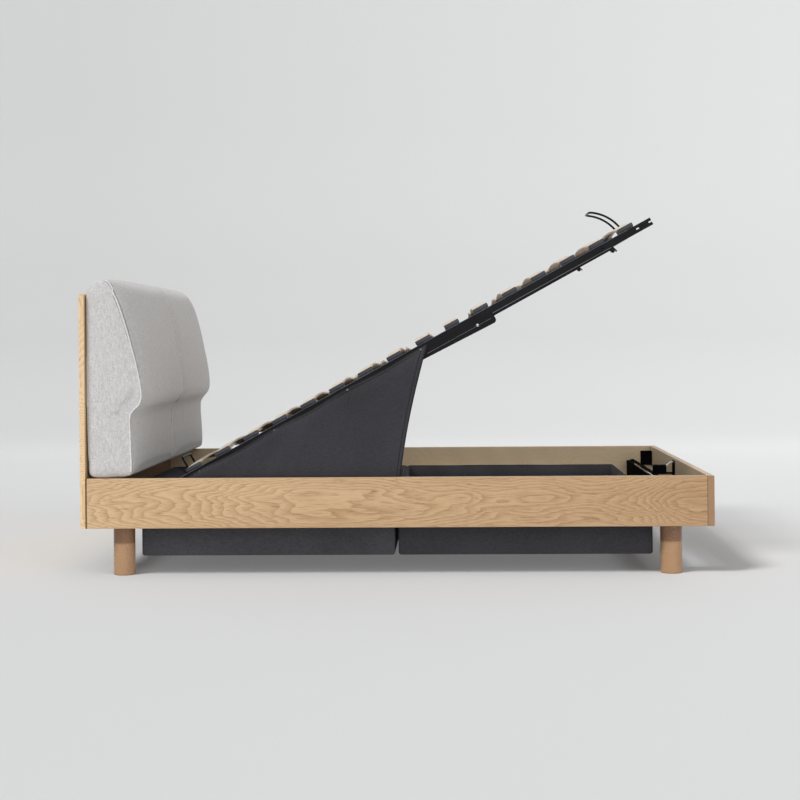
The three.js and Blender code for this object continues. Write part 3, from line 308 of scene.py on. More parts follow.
def oiled_oak(
    name, grain, centre, heart_depth, light="#D9BA92", dark="#A9825A", inner_face=None,
    tints=("#FFFFFF", "#FFFFFF"), dark_ends_and_seam_shade=None, painted_shade_above=None,
):
    """European oak, sawn through and through, sanded and oiled: growth rings cut at a
    slant give tall arches, with short dark pores along them and a satin surface.
    The rings are drawn somewhat coarser than real ones, so that they show."""
    material, tree, place = new_material(name)
    shift = add_node(tree, "Mapping", {"Vector": place, "Location": [-c for c in centre]})
    log = add_node(
        tree, "Mapping", {"Vector": shift.outputs["Vector"], "Rotation": GRAIN_TURNS[grain]},
    ).outputs["Vector"]
    along = add_node(tree, "SeparateXYZ", {"Vector": log}).outputs["X"]
    share = add_node(
        tree, "MapRange", {"Value": along, "From Min": -HALF_BOARD, "From Max": HALF_BOARD},
    ).outputs["Result"]
    # How far the heart of the log lies behind the face, changing slowly along the board
    if isinstance(heart_depth, list):
        curve = add_node(tree, "FloatCurve", {"Value": share})
        points = curve.mapping.curves[0].points
        while len(points) < len(heart_depth):
            points.new(0.5, 0.5)
        for point, spot in zip(points, heart_depth):
            point.location = spot
        curve.mapping.update()
        depth = add_node(
            tree, "Math", {0: curve.outputs["Value"], 1: HEART_SPAN, 2: HEART_NEAREST},
            operation="MULTIPLY_ADD",
        ).outputs["Value"]
    else:
        slow = add_node(
            tree, "TexNoise", {"W": along, "Scale": 1.3, "Detail": 1.0}, noise_dimensions="1D",
        ).outputs["Fac"]
        depth = add_node(tree, "MapRange", {
            "Value": slow, "From Min": 0.3, "From Max": 0.7,
            "To Min": heart_depth, "To Max": heart_depth * 2.2,
        }).outputs["Result"]
    stretched = add_node(
        tree, "Mapping", {"Vector": log, "Scale": (0.7, 4.0, 4.0)},
    ).outputs["Vector"]
    wander = add_node(
        tree, "TexNoise", {"Vector": stretched, "Scale": 2.6, "Detail": 2.5, "Roughness": 0.55},
    ).outputs["Color"]
    wandered = add_node(
        tree, "VectorMath",
        {0: wander, 1: (0.0, WANDER, WANDER), 2: (0.0, -WANDER / 2, -WANDER / 2)},
        operation="MULTIPLY_ADD",
    ).outputs["Vector"]
    behind = add_node(tree, "CombineXYZ", {"Y": depth}).outputs["Vector"]
    from_heart = add_node(
        tree, "VectorMath", {0: log, 1: behind}, operation="ADD",
    ).outputs["Vector"]
    ring_place = add_node(
        tree, "VectorMath", {0: from_heart, 1: wandered}, operation="ADD",
    ).outputs["Vector"]
    rings = add_node(
        tree, "TexWave",
        {"Vector": ring_place, "Scale": wave_scale(RING_SPACING), "Distortion": 0.5,
         "Detail": 2.0, "Detail Scale": 0.25, "Detail Roughness": 0.5},
        wave_type="RINGS", rings_direction="X", wave_profile="SAW",
    ).outputs["Fac"]
    pore_place = add_node(
        tree, "Mapping",
        {"Vector": ring_place, "Scale": (1 / PORE_LENGTH, 1 / PORE_WIDTH, 1 / PORE_WIDTH)},
    ).outputs["Vector"]
    pores = add_node(
        tree, "TexNoise", {"Vector": pore_place, "Scale": 1.0, "Detail": 2.0, "Roughness": 0.6},
    ).outputs["Fac"]
    tone = ramp(tree, rings, [
        (0.0, dark), (0.1, between(dark, light, 0.4)), (0.35, between(dark, light, 0.7)),
        (0.7, light), (0.94, light), (1.0, between(dark, light, 0.35)),
    ])
    patches = add_node(
        tree, "TexNoise", {"Vector": stretched, "Scale": 2.1, "Detail": 3.0},
    ).outputs["Fac"]
    patch_tone = ramp(tree, patches, [
        (0.3, light), (0.5, between(dark, light, 0.78)), (0.72, between(dark, light, 0.4)),
    ])
    blended = add_node(
        tree, "Mix", {"Factor": 0.42, 6: tone, 7: patch_tone}, data_type="RGBA",
    ).outputs[2]
    pore_tone = ramp(tree, pores, [(0.33, "#8A5F38"), (0.45, "#FFFFFF")])
    grained = add_node(
        tree, "Mix", {"Factor": 0.45, 6: blended, 7: pore_tone},
        data_type="RGBA", blend_type="MULTIPLY",
    ).outputs[2]
    grained = add_node(
        tree, "Mix", {"Factor": 1.0, 6: grained, 7: ramp(tree, share, list(enumerate(tints)))},
        data_type="RGBA", blend_type="MULTIPLY",
    ).outputs[2]
    # Darker ends: the foot rail's end grain, and painted shade of the seams at the near rail's ends
    if dark_ends_and_seam_shade:
        axis, limit, shade = dark_ends_and_seam_shade
        grained = darkened(tree, grained, beyond(tree, place, axis, limit), shade)
    # Painted shade: darker above a height, where the rail shades the legs' tops
    if painted_shade_above:
        height = add_node(tree, "SeparateXYZ", {"Vector": place}).outputs["Z"]
        upper = add_node(tree, "MapRange", {
            "Value": height, "From Min": painted_shade_above - SHADE_FADE,
            "From Max": painted_shade_above + SHADE_FADE,
        }).outputs["Result"]
        grained = darkened(tree, grained, upper, "#C3B9B3")
    if inner_face:
        axis, limit, sign = inner_face
        is_inner = inside(tree, place, axis, limit, sign)
        dull = add_node(
            tree, "Mix", {"Factor": 0.8, 6: grained, 7: colour("#BEAD91")}, data_type="RGBA",
        ).outputs[2]
        grained = add_node(
            tree, "Mix", {"Factor": is_inner, 6: grained, 7: dull}, data_type="RGBA",
        ).outputs[2]
    gloss = ramp(tree, pores, [(0.3, "#B4B4B4"), (0.6, "#9A9A9A")])
    surface(tree, {
        "Base Color": grained, "Roughness": gloss, "IOR": 1.5,
    }, relief=(0.25, 0.0004, pores))
    return material


def upholstery_cloth(name, tones):
    """Polyester and linen tweed, woven from light and dark grey yarns: mottled, matt,
    with a soft sheen. Its yarns are drawn 3 mm wide, so that they show."""
    material, tree, place = new_material(name)
    yarn = 0.003
    warp = stretched_noise(tree, place, (1 / yarn, 1 / yarn, 0.18 / yarn))
    weft = stretched_noise(tree, place, (0.35 / yarn, 0.35 / yarn, 1 / yarn))
    woven = add_node(tree, "Math", {0: warp, 1: weft}, operation="ADD").outputs["Value"]
    half = add_node(tree, "Math", {0: woven, 1: 0.5}, operation="MULTIPLY").outputs["Value"]
    tone = ramp(tree, half, list(zip((0.36, 0.48, 0.56, 0.66), tones)))
    surface(tree, {
        "Base Color": tone, "Roughness": 0.95, "Sheen Weight": 0.25, "Sheen Roughness": 0.5,
    }, relief=(0.5, 0.001, half))
    return material


def lining_cloth(name, light, dark):
    """Coated polyester lining cloth: thin, dark and closely woven, with a faint sheen.
    Its threads are drawn 3 mm wide, so that they show."""
    material, tree, place = new_material(name)
    thread = 0.003
    weave = stretched_noise(tree, place, (0.3 / thread, 1 / thread, 1 / thread))
    cloudy = add_node(
        tree, "TexNoise", {"Vector": place, "Scale": 3.5, "Detail": 3.0},
    ).outputs["Fac"]
    mixed = add_node(tree, "Mix", {"Factor": 0.5, 2: weave, 3: cloudy}).outputs[0]
    tone = ramp(tree, mixed, [(0.35, dark), (0.62, light)])
    surface(tree, {
        "Base Color": tone, "Roughness": 0.85, "Sheen Weight": 0.04, "Specular IOR Level": 0.25,
    }, relief=(0.3, 0.0005, weave))
    return material


def powder_coated_steel(name, dark="#0D0D0E", light="#17171A", shine=0.14, ior=1.5):
    """Mild steel with a black polyester powder coat: nearly matt, a faint orange peel."""
    material, tree, place = new_material(name)
    peel_size = 0.0025
    peel = add_node(
        tree, "TexNoise", {"Vector": place, "Scale": 1 / peel_size, "Detail": 2.0},
    ).outputs["Fac"]
    wear = add_node(
        tree, "TexNoise", {"Vector": place, "Scale": 9.0, "Detail": 5.0},
    ).outputs["Fac"]
    tone = ramp(tree, wear, [(0.35, dark), (0.65, light)])
    gloss = ramp(tree, wear, [(0.3, "#8C8C8C"), (0.7, "#A8A8A8")])
    surface(tree, {
        "Base Color": tone, "Roughness": gloss, "Specular IOR Level": shine, "IOR": ior,
    }, relief=(0.12, 0.0003, peel))
    return material


def moulded_plastic(name, light, dark):
    """Injection-moulded polypropylene: black with a fine spark-eroded grain; faces turned up are
    darkened with painted shade.
    """
    material, tree, place = new_material(name)
    spark_size = 0.0015
    spark = add_node(
        tree, "TexNoise", {"Vector": place, "Scale": 1 / spark_size, "Detail": 3.0},
    ).outputs["Fac"]
    tone = ramp(tree, spark, [(0.35, dark), (0.65, light)])
    # Painted shade: faces turned up on the raised platform are darkened
    upper = facing(tree, (-math.sin(LIFT), 0, math.cos(LIFT)))
    surface(tree, {
        "Base Color": darkened(tree, tone, upper, "#5A5A5A"), "Roughness": 0.42,
    }, relief=(0.15, 0.0002, spark))
    return material


def zinc_plate(name):
    """Bright zinc plate on steel: silver, with faint dull spots."""
    material, tree, place = new_material(name)
    spot_size = 0.004
    spots = add_node(
        tree, "TexNoise", {"Vector": place, "Scale": 1 / spot_size, "Detail": 3.0},
    ).outputs["Fac"]
    tone = ramp(tree, spots, [(0.3, "#B9BBBE"), (0.7, "#DADBDD")])
    gloss = ramp(tree, spots, [(0.3, "#4A4A4A"), (0.7, "#6A6A6A")])
    surface(tree, {"Base Color": tone, "Metallic": 1.0, "Roughness": gloss})
    return material


def bent_birch(name):
    """Birch laths glued and bent from veneers: cream faces with faint flame figure, and the
    underside darkened brown with painted shade."""
    material, tree, place = new_material(name)
    level = add_node(
        tree, "Mapping", {"Vector": place, "Rotation": (0, LIFT, 0)},
    ).outputs["Vector"]
    flame = stretched_noise(tree, level, (90, 6, 90), 3.0)
    tone = ramp(tree, flame, [(0.3, "#CDB698"), (0.5, "#DCC9B0"), (0.7, "#E6D7C2")])
    # Painted shade: faces turned down are darkened brown
    under = facing(tree, (math.sin(LIFT), 0, -math.cos(LIFT)))
    surface(tree, {"Base Color": darkened(tree, tone, under, "#A98E74"), "Roughness": 0.45})
    return material


def cotton_webbing(name):
    """Off-white cotton webbing with a plain rib across its width."""
    material, tree, place = new_material(name)
    rib_spacing = 0.003
    ribs = add_node(
        tree, "TexWave",
        {"Vector": place, "Scale": wave_scale(rib_spacing), "Distortion": 0.4},
        bands_direction="Z",
    ).outputs["Fac"]
    tone = ramp(tree, ribs, [(0.0, "#CFCDC6"), (1.0, "#EDEBE5")])
    surface(tree, {"Base Color": tone, "Roughness": 0.85}, relief=(0.4, 0.0005, ribs))
    return material


CURVE_RADIUS = 3.0
# Half the width over which the paint is drawn paler towards the foot end, as painted light
PAINTED_LIGHT_REACH = 3.2


def studio_paint(name):
    """Matt pale paint on the studio's floor and wall, greyer where the curve between them faces
    the light, so that floor and wall look alike, and paler towards the foot end as painted light."""
    material, tree, place = new_material(name)
    axes = add_node(tree, "SeparateXYZ", {"Vector": place})
    share = add_node(
        tree, "MapRange", {"Value": axes.outputs["Z"], "From Min": 0.0, "From Max": CURVE_RADIUS},
    ).outputs["Result"]
    tone = ramp(tree, share, [
        (0.0, "#E5E5E5"), (0.034, "#D8D8D8"), (0.066, "#D4D4D4"), (0.29, "#CCCCCC"),
        (0.5, "#CECECE"), (1.0, "#DCDCDC"),
    ])
    # Painted light: paler towards the foot end
    across = add_node(tree, "MapRange", {
        "Value": axes.outputs["X"], "From Min": -PAINTED_LIGHT_REACH, "From Max": PAINTED_LIGHT_REACH,
    }).outputs["Result"]
    painted_light_across = ramp(tree, across, [(0.0, "#EFEFEF"), (1.0, "#FFFFFF")])
    toned = add_node(
        tree, "Mix", {"Factor": 1.0, 6: tone, 7: painted_light_across}, data_type="RGBA", blend_type="MULTIPLY",
    ).outputs[2]
    surface(tree, {"Base Color": toned, "Roughness": 0.9})
    return material


rail_low, rail_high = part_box("side_rail_near")
foot_low, foot_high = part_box("foot_rail")
panel_low, panel_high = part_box("headboard_panel")
rail_middle_z = (rail_low[2] + rail_high[2]) / 2
RAIL_INNER = 0.768
# How far behind a face its own colour reaches, and how far in from the near rail's ends its painted
# seam shade reaches
FACE_DEPTH = 0.0005
SEAM_SHADE_DEPTH = 0.002
FOOT_END_DEPTH = 0.0006

# Along the near rail the heart of the log comes closer and draws back: where it comes
# closer the arches point to the head, and round its nearest places the rings close
NEAR_HEART = [
    (0.0, 1.0), (0.18, 0.70), (0.3, 0.54), (0.384, 0.46), (0.5, 0.50), (0.6, 0.60),
    (0.66, 0.66), (0.73, 0.62), (0.8, 0.66), (0.87, 0.62), (0.97, 0.40), (1.0, 0.38),
]

# Painted shade: the near rail is darkened close to both ends, at its seams
oak_near = oiled_oak(
    "oiled oak, near rail", "X", (0, rail_low[1], rail_middle_z), NEAR_HEART,
    inner_face=("Y", RAIL_INNER - FACE_DEPTH, -1), tints=("#FFFFFF", "#E2D9D0"),
    dark_ends_and_seam_shade=("X", rail_high[0] - SEAM_SHADE_DEPTH, "#8A7258"),
)
oak_far = oiled_oak(
    "oiled oak, far rail", "X", (0.4, rail_high[1], rail_middle_z + 0.02), 0.05,
    inner_face=("Y", RAIL_INNER + FACE_DEPTH, 1),
)
oak_foot = oiled_oak(
    "oiled oak, foot rail", "Y", (foot_high[0], 0.2, rail_middle_z), 0.05,
    inner_face=("X", foot_low[0] + FACE_DEPTH, 1),
    dark_ends_and_seam_shade=("Y", foot_high[1] - FOOT_END_DEPTH, "#C8BAB4"),
)
oak_panel = oiled_oak(
    "oiled oak, headboard", "Z", (panel_low[0], 0.1, 0.5), 0.09, light="#EFD2A8", dark="#CDA67A",
)
oak_legs = oiled_oak(
    "oiled oak, turned legs", "Z", (0.9, 0.4, 0.0), 0.12, light="#C19B76", dark="#85603F",
    painted_shade_above=0.112,
)
oak_plywood = oiled_oak(
    "lacquered plywood", "Y", (-1.07, 0.3, 0.25), 0.05, light="#8C6C4E", dark="#63492F",
)
cushion_cloth = upholstery_cloth(
    "grey tweed upholstery", ("#B7B5B4", "#C4C2C1", "#CCCACA", "#D7D5D5"),
)
# The piping is the same tweed in lighter tones, a painted highlight on the proud cord
piping_cloth = upholstery_cloth(
    "grey tweed piping", ("#D0CECD", "#DAD8D7", "#E1DFDE", "#E9E7E7"),
)
# Lines of painted shade in the seams beside the piping
seam_shade_cloth = lining_cloth("dark seam, painted shade", "#77757A", "#66646A")
pale_seam_shade_cloth = lining_cloth("grey seam, painted shade", "#918F92", "#807E82")
curtain_cloth = lining_cloth("black curtain cloth", "#3B3A3F", "#302F33")
# Painted light: the head bin's cloth is the foot bin's black cloth drawn lighter
head_bin_cloth_painted_light = lining_cloth("black bin cloth, painted lighter", "#515156", "#3E3E42")
foot_bin_cloth = lining_cloth("black bin cloth", "#424146", "#313034")
hem_tape = lining_cloth("black hem tape", "#2A292B", "#1D1C1E")
black_steel = powder_coated_steel("black powder-coated steel")
dull_steel = powder_coated_steel("black powder-coated steel, dull", "#0C0C0D", "#131315", 0.04, 1.02)
# Pale steel for the curtain's studs, and for painted highlights on edges
stud_and_highlight_steel = powder_coated_steel("pale steel of the studs, and painted highlights", "#5F6166", "#7C7E84", 0.3)
holder_plastic = moulded_plastic("black polypropylene", "#3B3D46", "#2A2B32")
silver = zinc_plate("bright zinc plate")
birch = bent_birch("bent birch veneer")
webbing = cotton_webbing("cotton webbing")

node_finishes = {
    "headboard_panel": oak_panel,
    "side_rail_near": oak_near,
    "side_rail_far": oak_far,
    "foot_rail": oak_foot,
    "head_rail": oak_plywood,
    "foot_crossbar": dull_steel,
    "corner_bracket_foot_near": dull_steel,
    "corner_bracket_foot_far": dull_steel,
    "foot_catch_bracket": dull_steel,
    "strut_rod_near": silver,
    "strut_rod_far": silver,
}
for name, node in nodes.items():
    node.data.materials.clear()
    node.data.materials.append(node_finishes.get(name, black_steel))


# Legs

LEG_RADIUS = 0.038
LEG_ROUNDING = 0.004
LEG_TOP_EDGE = 0.001


def turned_leg(name, centre):
    """A plain round leg with its foot rounded over, turned on a lathe."""
    top = rail_low[2] - FIT_GAP
    flat = LEG_RADIUS - LEG_ROUNDING
    bm = bmesh.new()
    profile = [(0, 0), (flat, 0)]
    for step in range(1, 5):
        angle = step / 4 * math.pi / 2
        profile.append((
            flat + LEG_ROUNDING * math.sin(angle),
            LEG_ROUNDING - LEG_ROUNDING * math.cos(angle),
        ))
    profile += [(LEG_RADIUS, top - LEG_TOP_EDGE), (LEG_RADIUS - LEG_TOP_EDGE, top), (0, top)]
    verts = [bm.verts.new((radius, 0, z)) for radius, z in profile]
    edges = [bm.edges.new(pair) for pair in zip(verts, verts[1:])]
    bmesh.ops.spin(
        bm, geom=verts + edges, cent=(0, 0, 0), axis=(0, 0, 1), angle=math.tau,
        steps=72, use_merge=True,
    )
    bmesh.ops.remove_doubles(bm, verts=bm.verts, dist=0.00001)
    bmesh.ops.recalc_face_normals(bm, faces=bm.faces)
    bmesh.ops.translate(bm, vec=centre, verts=bm.verts)
    leg = finished_piece("turned_" + name, bm, "frame", oak_legs)
    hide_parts(name)


for end in ("head", "foot"):
    for side in SIDES:
        low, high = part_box(f"leg_{end}_{side}")
        turned_leg(f"leg_{end}_{side}", ((low[0] + high[0]) / 2, (low[1] + high[1]) / 2, 0))


# Slats

SLAT_PITCH = 0.1164
FIRST_SLAT = 0.092
LATH_WIDTH = 0.053
LATH_THICKNESS = 0.008
LATH_BOW = 0.0125
LATH_SEAT = 0.0047
LATH_ROUNDING = 0.0018
HOLDER_WIDTH = 0.057
HOLDER_LENGTH = 0.037
HOLDER_LOW = MEMBER_TOP + 0.0028
HOLDER_HIGH = MEMBER_TOP + 0.0168
HOLDER_OUTER = PLATFORM_HALF_WIDTH + 0.002
HOLDER_FOOT = (0.714, 0.731)
# The foot is narrower than its cap by this on each side, and runs up into it
FOOT_INSET = 0.001
FOOT_OVERLAP = 0.003
BEAM_HOLDER_HALF = 0.034
BEAM_FOOT_HALF = 0.013
LATH_INNER = 0.006
LATH_OUTER = HOLDER_OUTER - 0.004


def lath_pattern():
    """One bowed lath about its own middle, with its long edges rounded."""
    bm = bmesh.new()
    bmesh.ops.create_cube(bm, size=1.0)
    bmesh.ops.scale(bm, vec=(LATH_WIDTH, LATH_OUTER - LATH_INNER, LATH_THICKNESS), verts=bm.verts)
    lengthwise = [edge for edge in bm.edges if edge.calc_length() > 0.1]
    bmesh.ops.subdivide_edges(bm, edges=lengthwise, cuts=24, use_grid_fill=True)
    corners = [
        edge
        for edge in bm.edges
        if abs(edge.verts[0].co.x) > LATH_WIDTH * 0.49
        and abs(edge.verts[0].co.y - edge.verts[1].co.y) > 0.001
    ]
    round_edges(bm, corners, LATH_ROUNDING)
    for vert in bm.verts:
        share = vert.co.y / (LATH_OUTER - LATH_INNER) + 0.5
        vert.co.z += LATH_BOW * math.sin(math.pi * share)
    mesh = bpy.data.meshes.new("lath_pattern")
    bm.to_mesh(mesh)
    bm.free()
    return mesh


def add_copy(bm, pattern, place):
    copy = pattern.copy()
    copy.transform(Matrix.Translation(place))
    bm.from_mesh(copy)
    bpy.data.meshes.remove(copy)


def slat_holder(bm, x, y0, y1, foot0, foot1):
    """A plastic cap for a lath's end, on a foot nearly as wide as itself."""
    half = HOLDER_WIDTH / 2
    block(bm, (x - half, y0, HOLDER_LOW), (x + half, y1, HOLDER_HIGH), rounding=0.0025)
    foot = half - FOOT_INSET
    block(
        bm, (x - foot, foot0, MEMBER_TOP + FIT_GAP),
        (x + foot, foot1, HOLDER_LOW + FOOT_OVERLAP), rounding=0.0006,
    )


one_lath = lath_pattern()
for row in range(16):
    x = PLATFORM_FOOT - FIRST_SLAT - row * SLAT_PITCH
    name = f"slat_{row + 1:02d}"
    laths = bmesh.new()
    holders = bmesh.new()
    for sign in SIDES.values():
        middle = Vector((
            x, sign * (LATH_INNER + LATH_OUTER) / 2, HOLDER_LOW + LATH_SEAT + LATH_THICKNESS / 2,
        ))
        add_copy(laths, one_lath, middle)
        cap = side_range(sign, HOLDER_OUTER - HOLDER_LENGTH, HOLDER_OUTER)
        slat_holder(holders, x, *cap, *side_range(sign, *HOLDER_FOOT))
    slat_holder(
        holders, x, -BEAM_HOLDER_HALF, BEAM_HOLDER_HALF, -BEAM_FOOT_HALF, BEAM_FOOT_HALF,
    )
    raise_up(laths)
    raise_up(holders)
    lath_piece = finished_piece("laths_" + name, laths, "platform", birch)
    holder_piece = finished_piece(
        "holders_" + name, holders, "platform", holder_plastic,
    )
    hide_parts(name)
    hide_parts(name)


# Retainer loops

LOOP_WIRE = 0.0042
HEAD_TUBE = PLATFORM_HEAD + 0.015
HEAD_LOOP_HALF = 0.095
HEAD_LOOP_HEIGHT = 0.071
HEAD_LOOP_BEND = 0.012


def wire_loop(name, node, points):
    raised = [raised_point(x, z) + Vector((0, y, 0)) for x, y, z in points]
    mesh = tube_mesh(name, raised, LOOP_WIRE, resolution=5)
    loop = placed_mesh(name, mesh, "platform", black_steel)
    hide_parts(node)


wire_loop("head_wire_loop", "head_retainer_loop", rounded_path([
    Vector((HEAD_TUBE, side * HEAD_LOOP_HALF, MEMBER_TOP + FIT_GAP + rise))
    for side, rise in ((-1, 0), (-1, HEAD_LOOP_HEIGHT), (1, HEAD_LOOP_HEIGHT), (1, 0))
], HEAD_LOOP_BEND))

FOOT_TUBE = PLATFORM_FOOT - 0.0777
FOOT_LOOP_HALF = 0.078
FOOT_LOOP_REACH = 0.057
FOOT_LOOP_RISE = 0.011
FOOT_LOOP_RADIUS = 0.164
FOOT_LOOP_ARC = math.radians(59)
FOOT_LOOP_NOSE = 0.017


def foot_loop_points():
    """Out from the cross tube, then up and back in one wide arc to a round nose."""
    start_z = (MEMBER_BOTTOM + MEMBER_TOP) / 2

    def on_arc(along, y):
        angle = along / FOOT_LOOP_RADIUS
        return Vector((
            FOOT_TUBE + FOOT_LOOP_REACH - FOOT_LOOP_RADIUS * (1 - math.cos(angle)),
            y,
            start_z + FOOT_LOOP_RISE + FOOT_LOOP_RADIUS * math.sin(angle),
        ))

    straight = FOOT_LOOP_ARC * FOOT_LOOP_RADIUS - FOOT_LOOP_NOSE
    leg = rounded_path([
        Vector((FOOT_TUBE, FOOT_LOOP_HALF, start_z)),
        Vector((FOOT_TUBE + FOOT_LOOP_REACH, FOOT_LOOP_HALF, start_z)),
        on_arc(0, FOOT_LOOP_HALF),
    ], FOOT_LOOP_RISE * 0.95)
    leg += [on_arc(straight * step / 20, FOOT_LOOP_HALF) for step in range(1, 21)]
    for step in range(1, 9):
        turn = math.pi / 2 * step / 8
        leg.append(on_arc(
            straight + FOOT_LOOP_NOSE * math.sin(turn),
            FOOT_LOOP_HALF - FOOT_LOOP_NOSE * (1 - math.cos(turn)),
        ))
    return [Vector((x, -y, z)) for x, y, z in leg] + leg[::-1]


wire_loop("foot_wire_loop", "foot_retainer_loop", foot_loop_points())


# Headboard cushions

CUSHION_BACK = panel_high[0] + FIT_GAP
CUSHION_BOTTOM = 0.348
CUSHION_HEIGHT = 0.700
CUSHION_DEPTH = 0.201
CUSHION_WIDTH = 0.778
CUSHION_CROWN = 0.025
CUSHION_RISE = 0.010
SEAM_GAP = 0.00015
# The cushion swells over a reach from its outer side, and dips again towards the seam
SWELL_REACH = 0.3
DIP_REACH = 0.05
SEAM_DIP = 0.3
# The side view as in the solid: shares of depth and height, then the shares of the
# crown and the rise by which the middle of the cushion stands forward and up
CUSHION_SIDE = [
    (0.115, 0.0, 0.0, 0.0), (0.04, 0.06, 0.0, 0.0), (0.015, 0.2, 0.0, 0.0),
    (0.002, 0.4, 0.0, 0.0), (0.005, 0.7, 0.0, 0.0), (0.010, 0.92, 0.0, 0.2),
    (0.05, 0.97, 0.0, 0.6), (0.18, 0.995, 0.3, 0.9), (0.34, 1.0, 0.7, 1.0),
    (0.43, 0.98, 1.3, 0.9), (0.515, 0.93, 1.7, 0.6), (0.61, 0.865, 1.7, 0.4),
    (0.725, 0.765, 1.5, 0.2), (0.83, 0.66, 1.15, 0.0), (0.92, 0.56, 0.8, 0.0),
    (0.985, 0.46, 0.5, 0.0), (1.0, 0.4, 0.4, 0.0), (0.955, 0.362, 0.45, 0.0),
    (0.85, 0.333, 0.55, 0.0), (0.795, 0.3, 0.55, 0.0), (0.795, 0.23, 0.5, 0.0),
    (0.81, 0.13, 0.4, 0.0), (0.815, 0.04, 0.25, 0.0), (0.77, 0.006, 0.2, 0.0),
    (0.5, 0.0, 0.0, 0.0),
]
CUSHION_STATIONS = 40


def smooth_loop(rows, steps=4):
    """A closed row of numbers made finer along a smooth curve through every row."""
    finer = []
    count = len(rows)
    for spot in range(count):
        p0, p1, p2, p3 = (rows[(spot + offset) % count] for offset in (-1, 0, 1, 2))
        for step in range(steps):
            t = step / steps
            finer.append(tuple(
                0.5 * (2 * b + (c - a) * t + (2 * a - 5 * b + 4 * c - d) * t ** 2
                       + (3 * b - 3 * c + d - a) * t ** 3)
                for a, b, c, d in zip(p0, p1, p2, p3)
            ))
    return finer


CUSHION_SIDE_FINE = smooth_loop(CUSHION_SIDE)


def crown_share(from_outer):
    """How much of its crown the cushion has at a distance from its outer side."""
    swell = max(0, min(1, from_outer / SWELL_REACH))
    seam = min(1, (CUSHION_WIDTH - from_outer) / DIP_REACH)
    dip = (1 - math.sin(seam * math.pi / 2)) * SEAM_DIP
    return math.sqrt(math.sin(swell * math.pi / 2)) - dip


def cushion_outline_point(spot, from_outer, drawn_in):
    """A point of the near cushion's outline at a distance from its outer side."""
    depth_share, height_share, forward, up = CUSHION_SIDE_FINE[spot]
    share = crown_share(from_outer)
    depth = depth_share * CUSHION_DEPTH + forward * share * CUSHION_CROWN
    height = height_share * CUSHION_HEIGHT + up * share * CUSHION_RISE
    if depth_share > 0.03:
        depth -= math.copysign(drawn_in, depth - CUSHION_DEPTH / 2)
    height -= math.copysign(drawn_in, height - CUSHION_HEIGHT / 2)
    y = -(CUSHION_WIDTH - from_outer + SEAM_GAP)
    return Vector((CUSHION_BACK + depth, y, CUSHION_BOTTOM + height))


def cushion_shell():
    """The near cushion as a loft: its side outline carried across from the outer side."""
    bm = bmesh.new()
    count = len(CUSHION_SIDE_FINE)
    # Each station's distance from the outer side, and how far its ring is drawn in
    stations = [(0.0, 0.006)]
    stations += [
        (CUSHION_WIDTH * (1 - math.cos(math.pi * step / CUSHION_STATIONS)) / 2, 0.0)
        for step in range(1, CUSHION_STATIONS)
    ]
    stations += [(CUSHION_WIDTH, 0.004)]
    rings = []
    for station in stations:
        ring = [bm.verts.new(cushion_outline_point(spot, *station)) for spot in range(count)]
        rings.append([bm.edges.new((a, b)) for a, b in zip(ring, ring[1:] + ring[:1])])
    for first, second in zip(rings, rings[1:]):
        bmesh.ops.bridge_loops(bm, edges=first + second)
    for ring in (rings[0], rings[-1]):
        bmesh.ops.contextual_create(bm, geom=ring)
    bmesh.ops.recalc_face_normals(bm, faces=bm.faces)
    return bm


def blown_up(piece, voxel, pressure, cap):
    """Fills a padded piece by cloth pressure, and keeps each point within the cap."""
    mesh = piece.data
    remesh = piece.modifiers.new("even cloth", "REMESH")
    remesh.mode = "VOXEL"
    remesh.voxel_size = voxel
    remesh.use_smooth_shade = True
    graph = bpy.context.evaluated_depsgraph_get()
    even = bpy.data.meshes.new_from_object(piece.evaluated_get(graph))
    piece.modifiers.clear()
    piece.data = even
    bpy.data.meshes.remove(mesh)
    before = [vert.co.copy() for vert in even.vertices]
    cloth = piece.modifiers.new("padding", "CLOTH")
    cloth.settings.use_pressure = True
    cloth.settings.uniform_pressure_force = pressure
    cloth.settings.effector_weights.gravity = 0.0
    cloth.settings.quality = 4
    cloth.settings.tension_stiffness = 40
    cloth.settings.compression_stiffness = 40
    cloth.settings.bending_stiffness = 2
    cloth.collision_settings.use_collision = False
    for step in range(1, 21):
        scene.frame_set(step)
    swollen = piece.evaluated_get(bpy.context.evaluated_depsgraph_get()).to_mesh()
    after = [vert.co.copy() for vert in swollen.vertices]
    piece.modifiers.clear()
    scene.frame_set(1)
    for vert, start, end in zip(even.vertices, before, after):
        move = end - start
        if move.length > cap:
            move *= cap / move.length
        vert.co = start + move
    even.update()


near_cushion = finished_piece(
    "padded_cushion_near", cushion_shell(), "frame", cushion_cloth, 60,
)
blown_up(near_cushion, voxel=0.006, pressure=4.0, cap=0.004)
cushion_mesh = near_cushion.data
cushion_mesh.materials.clear()
cushion_mesh.materials.append(cushion_cloth)
cushion_mesh.shade_smooth()

mirrored = bmesh.new()
mirrored.from_mesh(cushion_mesh)
bmesh.ops.scale(mirrored, vec=(1, -1, 1), verts=mirrored.verts)
bmesh.ops.reverse_faces(mirrored, faces=mirrored.faces)
far_cushion = finished_piece(
    "padded_cushion_far", mirrored, "frame", cushion_cloth, 60,
)
far_cushion.data.shade_smooth()
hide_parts("headboard_cushion_near")
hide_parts("headboard_cushion_far")

PIPING_RADIUS = 0.0031
SEAM_RADIUS = 0.0009
cushion_surface = BVHTree.FromPolygons(
    [vert.co for vert in cushion_mesh.vertices],
    [polygon.vertices for polygon in cushion_mesh.polygons],
)


def on_cushion(point, proud):
    """The nearest place on the near cushion, lifted off it a little."""
    place, normal, _, _ = cushion_surface.find_nearest(point)
    return place + normal * proud


